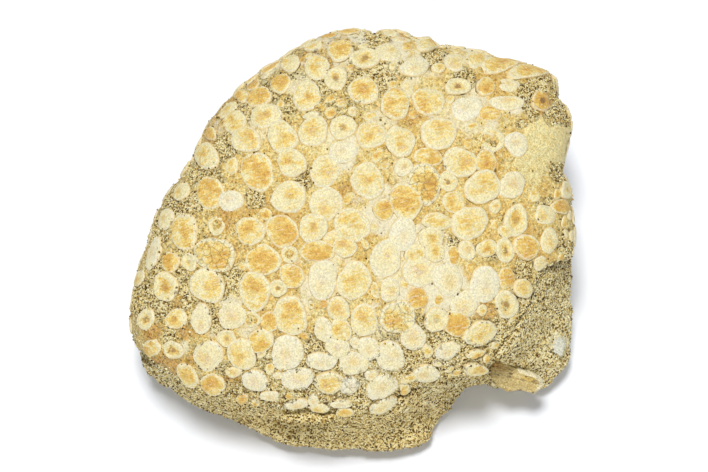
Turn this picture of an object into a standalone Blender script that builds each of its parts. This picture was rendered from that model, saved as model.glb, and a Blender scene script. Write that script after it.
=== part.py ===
"""Fossil fish mouth plate: a domed pavement of crushing teeth on a lump of phosphate sand.

The lump lies on its flattest side. The dome is described in a face plane that leans back
from the ground: u runs to the right, v up the face and w out of it, all in millimetres.
"""

import math
import random

import bmesh
import bpy
import numpy as np
from mathutils import Vector, noise
from mathutils.geometry import delaunay_2d_cdt

MM = 0.001
FACE_LEAN_DEG = 71.0      # how steeply the face normal stands above the ground
FRONT_V = -31.3           # where the front foot of the lump meets the ground
RIM_LEVEL = 10.0          # w at which the dome turns over
DOME_RISE = 12.0          # crown of the dome above that level
DOME_POWER = 2.8          # 2 is an ellipse, more is flatter on top and rounder at the rim
CRUST = 1.8               # thickness of the tooth pavement
GAP = 0.3                 # air between neighbouring pieces
BARE_LEDGE = 1.4          # how far the dome would run on past the broken margin
LIP = 3.4                 # how far the pavement wraps below the rim at the back and left
TOOTH_RELIEF = 0.42       # height of a tooth's shoulder above the pavement
TOOTH_CROWN = 0.55        # height of a domed tooth's middle
CUP_DEPTH = 0.12          # height of a worn or hollow tooth's middle
TOOTH_SPACING = 0.16      # bare line left between two teeth that meet
SHOULDER = 0.74           # size of the raised ring inside a tooth's foot
LUMP_FREQUENCY = 0.11     # cycles per millimetre of the wall's slow lumps
KNOB_FREQUENCY = 0.29     # and of its small knobs
# Rings of the lump's wall: share of the way, bulge and roughness.
SHOULDER_STEPS = ((0.22, -0.35, 0.3), (0.5, 0.15, 0.7), (0.78, 0.3, 0.8))
WALL_STEPS = ((0.25, 0.3, 1.3), (0.5, 0.3, 1.6), (0.76, 0.0, 1.2))
HIDDEN_TEETH_TRIES = 1400
HIDDEN_TOOTH_RADII = (1.35, 2.1)
SEED = 11

# The lump as seen along the face normal, clockwise from the left.
OUTLINE = [
    (-31.8, -10.3), (-31.4, -7.4), (-30.2, -2.9), (-29.0, 0.0), (-28.3, 2.9), (-27.0, 5.9),
    (-24.7, 8.8), (-22.8, 11.8), (-21.5, 14.7), (-20.0, 17.7), (-17.5, 20.6), (-14.4, 23.6),
    (-10.2, 26.5), (-6.6, 28.8), (-2.9, 30.5), (1.0, 31.4), (4.0, 30.8), (7.5, 31.1),
    (10.8, 29.9), (12.5, 30.0), (14.0, 28.6), (18.0, 28.4), (21.1, 27.8), (22.8, 26.8),
    (25.8, 26.4), (30.0, 25.0), (31.2, 23.9), (31.7, 21.1), (32.8, 19.7), (33.6, 17.4),
    (33.4, 15.5), (32.7, 12.5), (32.3, 10.0), (33.6, 7.4), (33.4, 5.6), (34.0, 1.8),
    (33.7, -2.9), (33.3, -5.2), (33.4, -9.6), (33.4, -14.0), (33.1, -17.1), (32.0, -19.3),
    (30.6, -20.9), (29.0, -21.7), (27.3, -21.7), (25.2, -21.5), (22.8, -21.5), (21.1, -21.5),
    (18.4, -22.2), (16.4, -23.7), (14.7, -25.3), (13.7, -27.5), (12.5, -29.5), (11.2, -30.8),
    (8.1, -31.2), (2.2, -31.3), (-2.2, -31.2), (-6.6, -30.8), (-11.0, -29.5), (-15.5, -27.3),
    (-21.4, -24.9), (-24.3, -23.3), (-27.3, -20.9), (-29.2, -19.1), (-30.7, -16.2),
    (-31.7, -13.3),
]

# Where the pavement breaks off on bare sand, from the right round the front to the left.
MARGIN = [
    (33.7, -2.7), (31.7, -3.2), (29.5, -4.4), (28.7, -6.6), (27.5, -9.3), (26.1, -11.8),
    (24.6, -14.0), (22.8, -16.2), (20.9, -19.1), (16.9, -20.3), (14.0, -20.9), (11.8, -21.4),
    (8.1, -23.3), (6.6, -24.7), (4.0, -25.6), (1.8, -25.9), (-1.5, -25.8), (-5.2, -25.3),
    (-8.8, -25.2), (-12.2, -24.7), (-16.9, -23.9), (-20.6, -23.0), (-23.6, -21.4),
    (-26.5, -19.4), (-28.7, -18.0), (-30.2, -16.2),
]

# Level w of the lump's widest line beyond the pavement, by direction in degrees.
EDGE_LEVELS = [
    (-180, 2.8), (-150, 2.4), (-125, 1.6), (-90, 1.3), (-70, 1.0), (-62, 0.0), (-50, -0.5),
    (-40, 0.5), (-30, 1.0), (-15, 2.0), (0, 3.0), (90, 3.0), (180, 2.8),
]

# Crushing teeth on the face: centre u, centre v, width, height, turn in degrees.
DOMED_TEETH = [
    (-12.6, 20.8, 4.3, 2.7, 25), (-15.3, 21.2, 2.4, 1.8, 0), (-9.4, 22.8, 3.2, 2.8, 0),
    (-11.5, 18.1, 4.7, 3.8, 0), (-16.1, 17.2, 3.8, 3.5, 0), (-14.4, 14.6, 4.3, 4.1, 0),
    (-9.1, 15.0, 4.6, 4.9, 0), (-5.5, 21.0, 4.6, 4.3, 0), (-8.0, 25.8, 2.8, 2.5, 0),
    (-10.9, 25.3, 3.8, 1.3, 25), (-17.1, 19.0, 3.2, 1.5, 40), (-19.7, 15.6, 1.8, 1.8, 0),
    (-4.1, 25.2, 4.1, 3.5, 0), (-0.7, 27.7, 3.7, 3.5, 0), (-4.6, 28.4, 2.7, 1.5, 0),
    (-2.4, 30.0, 2.9, 1.3, 0), (0.6, 30.6, 3.2, 1.2, 0), (2.7, 21.7, 4.3, 4.4, 0),
    (7.3, 19.8, 4.6, 4.6, 0), (12.2, 28.9, 3.5, 2.1, 0), (6.3, 27.5, 3.8, 2.9, 0),
    (10.2, 25.3, 4.4, 2.9, 0), (16.2, 26.2, 3.5, 2.9, 0), (12.2, 20.2, 4.7, 4.4, 0),
    (13.6, 15.5, 5.9, 4.6, 0), (3.8, 15.3, 4.3, 4.4, 0), (8.0, 14.3, 4.3, 4.9, 0),
    (-4.6, 15.8, 4.6, 4.4, 0), (-4.9, 18.1, 2.4, 1.2, 15), (17.7, 19.1, 4.7, 3.8, 0),
    (19.4, 26.8, 2.8, 3.2, 0), (22.7, 25.9, 4.6, 2.9, 0), (27.3, 25.0, 5.3, 2.7, 0),
    (24.0, 22.7, 3.2, 2.1, 0), (20.5, 22.4, 2.9, 2.7, 0), (23.6, 20.0, 5.0, 2.4, 0),
    (20.9, 18.4, 3.5, 2.4, 0), (25.0, 14.0, 3.5, 3.8, 0), (9.1, 22.1, 2.1, 2.7, 0),
    (-20.5, 12.4, 3.8, 3.7, 0), (-16.4, 10.8, 1.9, 2.5, 0), (-12.7, 9.9, 5.2, 5.7, 0),
    (-7.7, 11.2, 4.6, 4.1, 0), (-19.7, 6.9, 4.0, 5.3, 0), (-16.6, 5.7, 3.7, 3.4, 0),
    (-24.0, 7.2, 2.1, 2.9, 0), (-8.1, 6.2, 5.5, 4.6, 0), (-23.4, 1.2, 4.3, 5.2, 0),
    (-13.7, 1.3, 4.1, 4.6, 0), (-9.1, 1.3, 5.0, 5.0, 0), (-26.4, 3.1, 2.4, 3.2, 0),
    (-18.9, -2.1, 6.2, 5.3, 0), (-11.9, -2.9, 5.0, 5.0, 0), (-28.1, -1.9, 2.1, 4.7, -8),
    (-25.5, -3.2, 2.9, 2.9, 0), (-20.0, -6.6, 5.2, 5.3, 0), (-30.2, -5.6, 1.8, 2.4, 0),
    (-2.9, 10.0, 4.7, 4.7, 0), (3.3, 8.6, 5.2, 5.3, 0), (-0.3, 12.8, 4.7, 3.2, 0),
    (8.5, 10.6, 2.7, 2.9, 0), (12.1, 12.1, 4.4, 2.7, 0), (11.6, 8.2, 5.2, 5.9, 0),
    (16.8, 11.3, 5.2, 4.6, 0), (20.0, 7.7, 5.5, 5.0, 0), (8.8, 5.6, 4.9, 5.6, 0),
    (-4.6, 1.8, 4.1, 4.6, 0), (1.0, 2.1, 5.6, 5.0, 0), (-2.8, 5.2, 5.3, 5.0, 0),
    (8.4, 0.9, 4.3, 5.0, 0), (13.4, 2.7, 4.7, 2.5, 0), (15.8, 5.5, 3.5, 3.2, 0),
    (18.1, 2.5, 5.5, 5.2, 0), (12.5, 0.3, 4.1, 3.2, 0), (5.6, 4.4, 2.9, 3.5, 0),
    (-1.5, 0.0, 3.8, 2.9, 0), (20.5, 11.3, 3.5, 3.5, 0), (24.3, 8.0, 4.0, 4.1, 0),
    (20.6, -1.2, 3.1, 2.7, 0), (26.5, -1.0, 3.7, 4.1, 0), (29.3, 3.7, 3.1, 3.2, 0),
    (29.9, -0.1, 2.9, 3.8, 0), (31.8, 4.9, 2.7, 2.4, 0), (23.3, 1.2, 2.4, 1.8, 0),
    (32.7, 7.4, 2.1, 2.9, 0), (21.9, 4.9, 1.8, 2.1, 0), (-24.6, -11.5, 3.5, 2.9, 0),
    (-13.1, -7.4, 5.0, 5.7, 0), (-7.7, -5.2, 3.8, 3.8, 0), (-7.9, -11.0, 5.3, 5.7, 0),
    (-11.0, -11.9, 2.9, 2.9, 0), (-12.2, -14.6, 4.1, 3.5, 0), (-15.0, -16.6, 4.4, 4.7, 0),
    (-19.9, -16.9, 4.1, 5.0, 0), (-8.4, -16.5, 4.4, 5.5, 0), (-28.4, -15.9, 2.7, 2.7, 0),
    (-12.2, -16.6, 1.3, 1.3, 0), (-3.1, -9.3, 1.2, 1.5, 0), (-3.2, -5.7, 4.6, 5.9, 0),
    (-4.0, -1.6, 5.0, 3.5, 0), (0.0, -1.0, 3.5, 3.2, 0), (1.3, -5.9, 5.0, 5.9, 0),
    (5.9, -2.7, 4.9, 5.6, 0), (4.3, -7.4, 1.3, 2.9, 0), (6.5, -7.2, 3.2, 3.5, 0),
    (-0.9, -10.0, 3.5, 3.7, 0), (2.8, -11.6, 4.4, 4.7, 0), (7.7, -11.2, 5.2, 5.2, 0),
    (-3.1, -13.0, 2.9, 3.7, 0), (-0.6, -13.1, 3.5, 3.5, 0), (-1.0, -15.6, 3.8, 3.2, 0),
    (1.5, -14.9, 1.6, 1.8, 0), (3.5, -16.1, 3.2, 3.2, 0), (6.5, -17.1, 4.0, 4.1, 0),
    (9.9, -14.1, 4.1, 3.8, 0), (10.5, -8.4, 3.5, 3.2, 0), (14.9, -5.7, 4.4, 5.3, 0),
    (10.2, -1.9, 3.2, 2.7, 0), (13.0, -1.6, 3.2, 3.2, 0), (17.4, -9.3, 4.0, 4.3, 0),
    (20.3, -6.5, 4.7, 5.5, 0), (23.6, -5.5, 2.4, 3.5, 0), (26.1, -7.1, 2.9, 2.9, 0),
    (19.7, -13.6, 4.9, 3.8, 15), (16.2, -12.1, 4.3, 3.7, 0), (14.9, -16.2, 3.8, 2.8, 20),
    (19.1, -19.0, 3.2, 2.2, 15), (19.0, -16.6, 2.7, 1.3, 20), (15.8, -2.2, 1.8, 2.7, 0),
    (-23.0, -19.9, 2.7, 4.1, 30), (-19.3, -21.2, 3.5, 3.5, 0), (-13.1, -20.5, 3.8, 3.5, 0),
    (-16.2, -19.3, 2.4, 1.8, 0), (-10.9, -22.8, 3.1, 1.6, 0), (-6.8, -20.3, 4.4, 3.5, 0),
    (-9.7, -19.7, 1.6, 1.2, 0), (-7.1, -24.0, 3.7, 1.5, 0), (-4.6, -23.4, 1.8, 1.8, 0),
    (-3.4, -17.7, 4.1, 2.2, 0), (1.3, -18.0, 4.4, 2.7, 0), (3.8, -19.7, 2.2, 1.6, 0),
    (0.7, -21.2, 2.9, 2.9, 0), (5.3, -21.5, 5.0, 2.7, 25), (11.9, -19.6, 4.0, 2.8, 15),
    (9.3, -20.2, 2.5, 1.3, 15), (5.6, -24.3, 3.7, 1.9, 20), (-0.6, -23.9, 3.5, 1.3, 0),
    (0.0, -25.2, 2.9, 1.3, 0), (-3.7, -24.6, 2.9, 1.5, 0), (-14.9, -24.3, 1.8, 1.8, 0),
]
CUPPED_TEETH = [
    (-1.3, 23.5, 3.2, 3.7, 0), (2.9, 26.5, 4.4, 3.1, 0), (16.5, 22.4, 3.7, 2.7, 0),
    (-0.3, 16.4, 3.8, 3.8, 0), (21.4, 14.6, 4.1, 3.5, 0), (-18.7, 2.1, 2.7, 2.7, 0),
    (-8.0, -2.1, 2.4, 2.8, 0), (-22.7, -3.2, 2.4, 2.7, 0), (-26.2, -6.8, 3.8, 4.3, 0),
    (15.0, 8.5, 2.8, 3.1, 0), (24.9, 2.8, 3.8, 4.7, 0), (23.3, -1.5, 2.8, 3.8, 0),
    (17.7, -1.5, 2.7, 2.9, 0), (-29.2, -11.6, 2.9, 2.9, 0), (-20.9, -11.5, 3.2, 4.3, 0),
    (-16.4, -11.0, 4.1, 4.4, 0), (-13.6, -11.5, 2.5, 2.7, 0), (-9.7, -7.0, 2.5, 2.8, 0),
    (-17.2, -14.3, 2.8, 2.7, 0), (-25.2, -16.8, 2.9, 1.8, 0), (-4.9, -9.4, 1.0, 1.3, 0),
    (13.3, -11.6, 3.5, 3.8, 0), (10.9, -4.6, 5.0, 5.0, 0), (23.6, -9.4, 3.5, 4.3, 0),
    (-2.2, -20.8, 3.7, 3.4, 0),
]

# The bone fragment, in its own plane: x along its fibres.
FLAKE_OUTLINE = [
    (-4.1, 0.9), (-2.6, 1.5), (-0.9, 1.6), (0.6, 1.3), (2.2, 1.5), (3.7, 1.1), (4.3, 0.3),
    (3.4, -1.3), (1.2, -1.6), (-1.4, -1.2), (-3.2, -1.0), (-4.3, -0.2),
]
FLAKE_CENTRE = (25.4, -20.2, 6.0)
FLAKE_TURN_DEG = (14.0, 12.0, -19.0)
FLAKE_THICKNESS = 1.5
FLAKE_BEVEL = 0.35

RHO = np.linspace(0.0, 1.6, 129)      # 0 at the crown, 1 at the rim, more on the skirt


def empty_scene():
    """Clear the default objects."""
    for obj in list(bpy.data.objects):
        bpy.data.objects.remove(obj, do_unlink=True)


def make_material(name, colour, roughness):
    """A plain Principled material."""
    material = bpy.data.materials.new(name)
    material.use_nodes = True
    shader = material.node_tree.nodes["Principled BSDF"]
    shader.inputs["Base Color"].default_value = (*colour, 1.0)
    shader.inputs["Roughness"].default_value = roughness
    shader.inputs["Metallic"].default_value = 0.0
    return material


def add_piece(name, bm, colour, roughness):
    """Put a finished bmesh into the scene as one named object."""
    bmesh.ops.recalc_face_normals(bm, faces=bm.faces)
    mesh = bpy.data.meshes.new(name)
    bm.to_mesh(mesh)
    bm.free()
    mesh.materials.append(make_material(name, colour, roughness))
    piece = bpy.data.objects.new(name, mesh)
    bpy.context.collection.objects.link(piece)
    return piece


# ---------------------------------------------------------------- face and ground

def to_ground(u, v, w):
    """A point of the leaning face, in metres on level ground."""
    lean = math.radians(FACE_LEAN_DEG)
    up = v - FRONT_V
    return Vector((u, up * math.sin(lean) - w * math.cos(lean),
                   up * math.cos(lean) + w * math.sin(lean))) * MM


def polar(points):
    """Directions and radii of an outline, sorted by direction."""
    rows = sorted((math.atan2(v, u), math.hypot(u, v)) for u, v in points)
    return np.array(rows).T


OUTLINE_POLAR = polar(OUTLINE)
MARGIN_POLAR = polar(MARGIN)


def outline_radius(theta):
    """How far the lump reaches in a direction."""
    return float(np.interp(theta, *OUTLINE_POLAR, period=2 * math.pi))


def margin_radius(theta):
    """How far the pavement reaches in a direction, never past the lump."""
    directions, radii = MARGIN_POLAR
    reach = outline_radius(theta)
    if directions[0] < theta < directions[-1]:
        return min(reach, float(np.interp(theta, directions, radii)))
    return reach


def bare_width(theta):
    """Width of bare sand between the pavement and the lump's outline."""
    return outline_radius(theta) - margin_radius(theta)


def wrap_share(theta):
    """1 where the pavement wraps over the rim, 0 where it ends on bare sand."""
    share = max(0.0, 1.0 - bare_width(theta) / 1.5)
    return share * share * (3.0 - 2.0 * share)


def rim_radius(theta):
    """Where the dome would turn over, before the teeth are put on."""
    return margin_radius(theta) - 0.3 + min(0.5 * bare_width(theta), BARE_LEDGE + 0.3)


def profile(theta, depth=0.0):
    """Radius and level along the dome and its skirt, sunk by depth, for each RHO."""
    angle = np.minimum(RHO, 1.0) * math.pi / 2
    reach = (np.sin(angle) ** DOME_POWER + np.cos(angle) ** DOME_POWER) ** (-1 / DOME_POWER)
    below = np.maximum(RHO - 1.0, 0.0) * math.pi / 2 * DOME_RISE
    radius = (rim_radius(theta) - depth) * reach * np.sin(angle) - 0.012 * below ** 2
    level = RIM_LEVEL + (DOME_RISE - depth) * reach * np.cos(angle) - below
    return radius, level


def distances(theta):
    """Distance over the surface from the crown, for each RHO."""
    radius, level = profile(theta)
    steps = np.hypot(np.diff(radius), np.diff(level))
    return np.concatenate(([0.0], np.cumsum(steps)))


def on_dome(theta, distance, depth=0.0):
    """The point at a distance over the dome from its crown, sunk by depth."""
    rho = np.interp(distance, distances(theta), RHO)
    radius, level = profile(theta, depth)
    r = float(np.interp(rho, RHO, radius))
    w = float(np.interp(rho, RHO, level))
    return r * math.cos(theta), r * math.sin(theta), w


def margin_distance(theta):
    """Distance over the dome from its crown to the pavement's margin."""
    radius, _ = profile(theta)
    on_top = RHO <= 1.0
    limit = min(margin_radius(theta), radius[on_top][-1])
    along = distances(theta)
    reach = float(np.interp(limit, radius[on_top], along[on_top]))
    ragged = LIP + 0.9 * math.sin(3 * theta + 0.6) + 0.5 * math.sin(8 * theta)
    return reach + ragged * wrap_share(theta)


def to_sheet(theta, distance):
    """The dome rolled out flat: direction kept, distance over the surface."""
    return np.array((distance * math.cos(theta), distance * math.sin(theta)))


DIRECTIONS = [float(theta) for theta in OUTLINE_POLAR[0]]
MARGIN_DISTANCES = [margin_distance(theta) for theta in DIRECTIONS]


# ---------------------------------------------------------------- tooth layout

class Tooth:
    """One crushing tooth on the rolled-out sheet: an ellipse trimmed by its neighbours."""

    def __init__(self, centre, axes, crown):
        self.centre = np.array(centre)
        self.axes = np.array(axes)           # two rows: half-width and half-height vectors
        self.crown = crown
        self.trims = []                      # (direction, distance) lines it stays behind

    def support(self, direction):
        """Reach of the ellipse in a direction."""
        return float(np.hypot(*(self.axes @ direction)))

    def outline(self, sides):
        """Corners of the trimmed outline."""
        corners = []
        for k in range(sides):
            angle = 2 * math.pi * (k + 0.5) / sides
            arm = math.cos(angle) * self.axes[0] + math.sin(angle) * self.axes[1]
            scale = 1.0
            for direction, limit in self.trims:
                if arm @ direction * scale > limit:
                    scale = limit / float(arm @ direction)
            corners.append(self.centre + arm * scale)
        return corners


def face_tooth(u, v, width, height, turn, crown):
    """A tooth given by how it looks on the face."""
    theta = math.atan2(v, u)
    radius, _ = profile(theta)
    on_top = RHO <= 1.0
    along = distances(theta)
    r = min(math.hypot(u, v), radius[on_top][-1] - 0.35)
    distance = float(np.interp(r, radius[on_top], along[on_top]))
    farther = float(np.interp(r + 0.2, radius[on_top], along[on_top]))
    stretch_out = min((farther - distance) / 0.2, 2.1)
    stretch_round = distance / max(r, 0.5)
    outward = np.array((math.cos(theta), math.sin(theta)))
    around = np.array((-outward[1], outward[0]))
    tilt = math.radians(turn)
    axes = []
    for half, angle in ((width / 2, tilt), (height / 2, tilt + math.pi / 2)):
        arm = half * np.array((math.cos(angle), math.sin(angle)))
        axes.append(outward * (arm @ outward) * stretch_out + around * (arm @ around) * stretch_round)
    return Tooth(to_sheet(theta, distance), axes, crown)


def hidden_teeth(placed):
    """Teeth on the wrapped-over edge that the face doesn't show, dropped in where they fit."""
    draw = random.Random(SEED)
    added = []
    for _ in range(HIDDEN_TEETH_TRIES):
        theta = draw.uniform(-math.pi, math.pi)
        size = draw.uniform(*HIDDEN_TOOTH_RADII)
        share = draw.uniform(0.0, 1.0)
        last = margin_distance(theta) - size - 0.2
        rim = float(np.interp(1.0, RHO, distances(theta)))
        first = rim - 0.5
        if wrap_share(theta) < 0.9 or last < first:
            continue
        centre = to_sheet(theta, first + share * (last - first))
        tooth = Tooth(centre, np.eye(2) * size, TOOTH_CROWN)
        if all(far_enough(tooth, other) for other in placed + added):
            added.append(tooth)
    return added


def far_enough(tooth, other):
    """Whether two teeth only just meet."""
    apart = other.centre - tooth.centre
    length = float(np.hypot(*apart))
    direction = apart / max(length, 1e-6)
    return length > 0.93 * (tooth.support(direction) + other.support(direction))


def trim_neighbours(teeth):
    """Give teeth that would overlap a shared straight edge with a bare line in it."""
    for index, tooth in enumerate(teeth):
        for other in teeth[index + 1:]:
            apart = other.centre - tooth.centre
            length = float(np.hypot(*apart))
            direction = apart / length
            near, far = tooth.support(direction), other.support(direction)
            if near + far + TOOTH_SPACING > length:
                share = length * near / (near + far)
                tooth.trims.append((direction, share - TOOTH_SPACING / 2))
                other.trims.append((-direction, length - share - TOOTH_SPACING / 2))


def keep_on_pavement(point):
    """Pull a sheet point back inside the pavement's margin."""
    theta = math.atan2(point[1], point[0])
    limit = float(np.interp(theta, DIRECTIONS, MARGIN_DISTANCES, period=2 * math.pi)) - 0.3
    distance = float(np.hypot(*point))
    return point * min(1.0, limit / max(distance, 1e-6))


def sides_for(tooth):
    """More corners on a larger tooth."""
    size = float(np.linalg.norm(tooth.axes))
    return 5 if size < 1.6 else 6 if size < 2.6 else 7


def lay_out_teeth():
    """All the teeth, trimmed where they meet."""
    teeth = [face_tooth(*row, TOOTH_CROWN) for row in DOMED_TEETH]
    teeth += [face_tooth(*row, CUP_DEPTH) for row in CUPPED_TEETH]
    teeth += hidden_teeth(teeth)
    trim_neighbours(teeth)
    return teeth


# ---------------------------------------------------------------- pieces

UNDERSIDE_SHARES = (0.3, 0.55, 0.76, 0.9, 1.0)


def sunk_rings(bm, depth):
    """Crown vertex and rings of the dome sunk by depth, out to the pavement's margin."""
    crown = bm.verts.new(to_ground(*on_dome(0.0, 0.0, depth)))
    rings = []
    for share in UNDERSIDE_SHARES:
        ring = []
        for theta in DIRECTIONS:
            distance = margin_distance(theta) * share
            ring.append(bm.verts.new(to_ground(*on_dome(theta, distance, depth))))
        rings.append(ring)
    return crown, rings


def fan(bm, centre, ring):
    """Triangles from a centre to a closed ring."""
    for a, b in zip(ring, ring[1:] + ring[:1]):
        bm.faces.new((centre, a, b))


def band(bm, inner, outer):
    """Triangles between two closed rings of the same count."""
    count = len(inner)
    for k in range(count):
        nxt = (k + 1) % count
        bm.faces.new((inner[k], outer[k], outer[nxt]))
        bm.faces.new((inner[k], outer[nxt], inner[nxt]))


def dome_under(bm, depth):
    """The smooth dome that lies under the teeth; returns its last ring."""
    crown, rings = sunk_rings(bm, depth)
    fan(bm, crown, rings[0])
    for inner, outer in zip(rings, rings[1:]):
        band(bm, inner, outer)
    return rings[-1]


def pavement_top(teeth):
    """Points, constrained edges and heights of the toothed surface on the sheet."""
    points, heights, edges = [], [], []

    def add_loop(loop, height):
        start = len(points)
        points.extend(loop)
        heights.extend([height] * len(loop))
        edges.extend((start + k, start + (k + 1) % len(loop)) for k in range(len(loop)))

    add_loop([to_sheet(theta, margin_distance(theta)) for theta in DIRECTIONS], 0.0)
    for tooth in teeth:
        foot = [keep_on_pavement(corner) for corner in tooth.outline(sides_for(tooth))]
        middle = sum(foot) / len(foot)
        add_loop(foot, 0.0)
        add_loop([middle + (corner - middle) * SHOULDER for corner in foot], TOOTH_RELIEF)
        points.append(middle)
        heights.append(tooth.crown)
    return points, edges, heights


def inside_margin(corners):
    """Whether a sheet triangle lies on the pavement and not in a bay of its margin."""
    middle = sum(corners, Vector((0.0, 0.0))) / len(corners)
    theta = math.atan2(middle.y, middle.x)
    after = np.searchsorted(DIRECTIONS, theta) % len(DIRECTIONS)
    start = to_sheet(DIRECTIONS[after - 1], MARGIN_DISTANCES[after - 1])
    end = to_sheet(DIRECTIONS[after], MARGIN_DISTANCES[after])
    side = end - start
    return side[0] * (middle.y - start[1]) - side[1] * (middle.x - start[0]) > 0


def make_tooth_plate(teeth):
    """The pavement of teeth: one crust over the dome, broken off at its margin."""
    points, edges, heights = pavement_top(teeth)
    flat = [Vector(point) for point in points]
    placed, _, faces, sources, _, _ = delaunay_2d_cdt(flat, edges, [], 1, 1e-4, True)
    faces = [face for face in faces if inside_margin([placed[k] for k in face])]
    bm = bmesh.new()
    verts = []
    for point, source in zip(placed, sources):
        theta = math.atan2(point.y, point.x)
        height = heights[source[0]] if source else 0.0
        verts.append(bm.verts.new(to_ground(*on_dome(theta, point.length, -height))))
    for face in faces:
        bm.faces.new([verts[k] for k in face])
    top_ring = [None] * len(DIRECTIONS)
    for vert, source in zip(verts, sources):
        for origin in source:
            if origin < len(DIRECTIONS):
                top_ring[origin] = vert
    under_ring = dome_under(bm, CRUST)
    band(bm, under_ring, top_ring)
    return add_piece("tooth_plate", bm, (0.80, 0.66, 0.38), 0.6)


def edge_point(theta):
    """The lump's widest line beyond the pavement."""
    level = float(np.interp(math.degrees(theta), *np.array(EDGE_LEVELS).T))
    radius = outline_radius(theta) - 0.25 - 0.85 * wrap_share(theta)
    return to_ground(radius * math.cos(theta), radius * math.sin(theta), level)


def foot_point(edge, middle):
    """Where the wall under an edge point meets the ground, drawn in a little."""
    foot = Vector((edge.x, edge.y, 0.0))
    inward = (Vector((middle.x, middle.y, 0.0)) - foot).normalized()
    return foot + inward * (0.9 * MM + 0.13 * edge.z)


def rough(point, outward, depth):
    """Move a wall point in or out by slow, lumpy noise."""
    slow = noise.noise(point / MM * LUMP_FREQUENCY)
    quick = noise.noise(point / MM * KNOB_FREQUENCY + Vector((9.0, 2.0, 5.0)))
    return point + outward * depth * MM * (slow + 0.7 * quick)


def wall_ring(starts, ends, share, bulge, depth, middle):
    """A ring part of the way between two rings, bulged outwards and roughened."""
    ring = []
    for start, end in zip(starts, ends):
        point = start.lerp(end, share)
        outward = Vector((point.x - middle.x, point.y - middle.y, 0.0)).normalized()
        ring.append(rough(point + outward * bulge * MM, outward, depth))
    return ring


def make_matrix():
    """The lump of sand under the pavement: domed top, broken walls, flat underside."""
    bm = bmesh.new()
    under = dome_under(bm, CRUST + GAP)
    ledge = [vert.co.copy() for vert in under]
    middle = sum(ledge, Vector()) / len(ledge)
    edge = [edge_point(theta) for theta in DIRECTIONS]
    foot = [foot_point(point, middle) for point in edge]
    rings = [wall_ring(ledge, edge, *step, middle) for step in SHOULDER_STEPS]
    rings.append(edge)
    rings += [wall_ring(edge, foot, *step, middle) for step in WALL_STEPS]
    rings.append(foot)
    last = under
    for ring in rings:
        new = [bm.verts.new(point) for point in ring]
        band(bm, last, new)
        last = new
    base = bm.verts.new((middle.x, middle.y, 0.0))
    fan(bm, base, last)
    return add_piece("matrix", bm, (0.50, 0.43, 0.29), 0.95)


def flake_mesh(grow=0.0):
    """The bone fragment's splinter shape, grown on all sides by grow."""
    bm = bmesh.new()
    half = FLAKE_THICKNESS / 2 + grow
    layers = ((-half, -FLAKE_BEVEL), (-half * 0.4, 0.0), (half * 0.5, 0.0), (half, -FLAKE_BEVEL))
    rings = []
    for z, inset in layers:
        ring = []
        for x, y in FLAKE_OUTLINE:
            length = math.hypot(x, y)
            scale = (length + grow + inset) / length
            ring.append(bm.verts.new(Vector((x * scale, y * scale, z)) * MM))
        rings.append(ring)
    for inner, outer in zip(rings, rings[1:]):
        band(bm, inner, outer)
    for ring, z in ((rings[0], -half), (rings[-1], half)):
        fan(bm, bm.verts.new(Vector((0.0, 0.0, z * 1.12)) * MM), ring)
    return bm


def place_flake(piece):
    """Stand a flake shape where the fragment lies in the lump's front right corner."""
    turn = [math.radians(angle) for angle in FLAKE_TURN_DEG]
    turn[0] += math.radians(90.0 - FACE_LEAN_DEG)
    piece.rotation_euler = turn
    piece.location = to_ground(*FLAKE_CENTRE)


def make_bone_fragment():
    """The splinter of bone that lies half sunk in the sand."""
    piece = add_piece("bone_fragment", flake_mesh(), (0.56, 0.43, 0.20), 0.7)
    place_flake(piece)
    return piece


def seat_flake(matrix):
    """Cut the fragment's seat into the sand with a slightly larger copy of it."""
    cutter = add_piece("flake_seat_cutter", flake_mesh(GAP), (0.5, 0.5, 0.5), 1.0)
    place_flake(cutter)
    cutter.hide_render = True
    cutter.display_type = "WIRE"
    seat = matrix.modifiers.new("flake seat", "BOOLEAN")
    seat.operation = "DIFFERENCE"
    seat.solver = "EXACT"
    seat.object = cutter
    return cutter


def stand_on_origin(pieces, movers):
    """Bring the middle of the base to the origin."""
    bpy.context.view_layer.update()
    corners = [piece.matrix_world @ vert.co for piece in pieces for vert in piece.data.vertices]
    middle_x = (min(c.x for c in corners) + max(c.x for c in corners)) / 2
    middle_y = (min(c.y for c in corners) + max(c.y for c in corners)) / 2
    for piece in movers:
        piece.location.x -= middle_x
        piece.location.y -= middle_y


def build():
    """Make the three pieces."""
    empty_scene()
    plate = make_tooth_plate(lay_out_teeth())
    matrix = make_matrix()
    fragment = make_bone_fragment()
    cutter = seat_flake(matrix)
    stand_on_origin([plate, matrix, fragment], [plate, matrix, fragment, cutter])


build()
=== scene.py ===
import math
import random

import bpy
import numpy as np
from mathutils import Matrix, Vector, noise
from mathutils.bvhtree import BVHTree


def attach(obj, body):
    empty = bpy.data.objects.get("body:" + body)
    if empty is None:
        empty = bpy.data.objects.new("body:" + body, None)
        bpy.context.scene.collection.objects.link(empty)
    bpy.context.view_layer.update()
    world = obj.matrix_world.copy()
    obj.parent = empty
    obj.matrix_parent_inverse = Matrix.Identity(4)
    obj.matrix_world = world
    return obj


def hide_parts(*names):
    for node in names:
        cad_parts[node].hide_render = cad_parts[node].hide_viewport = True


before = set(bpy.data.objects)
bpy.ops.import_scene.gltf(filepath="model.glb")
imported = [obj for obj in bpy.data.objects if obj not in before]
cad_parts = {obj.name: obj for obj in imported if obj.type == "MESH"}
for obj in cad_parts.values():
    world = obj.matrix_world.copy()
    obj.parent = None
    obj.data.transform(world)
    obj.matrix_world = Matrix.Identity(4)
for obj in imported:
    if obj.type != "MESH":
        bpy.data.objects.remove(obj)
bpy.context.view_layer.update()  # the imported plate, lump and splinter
mm = 0.001

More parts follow.
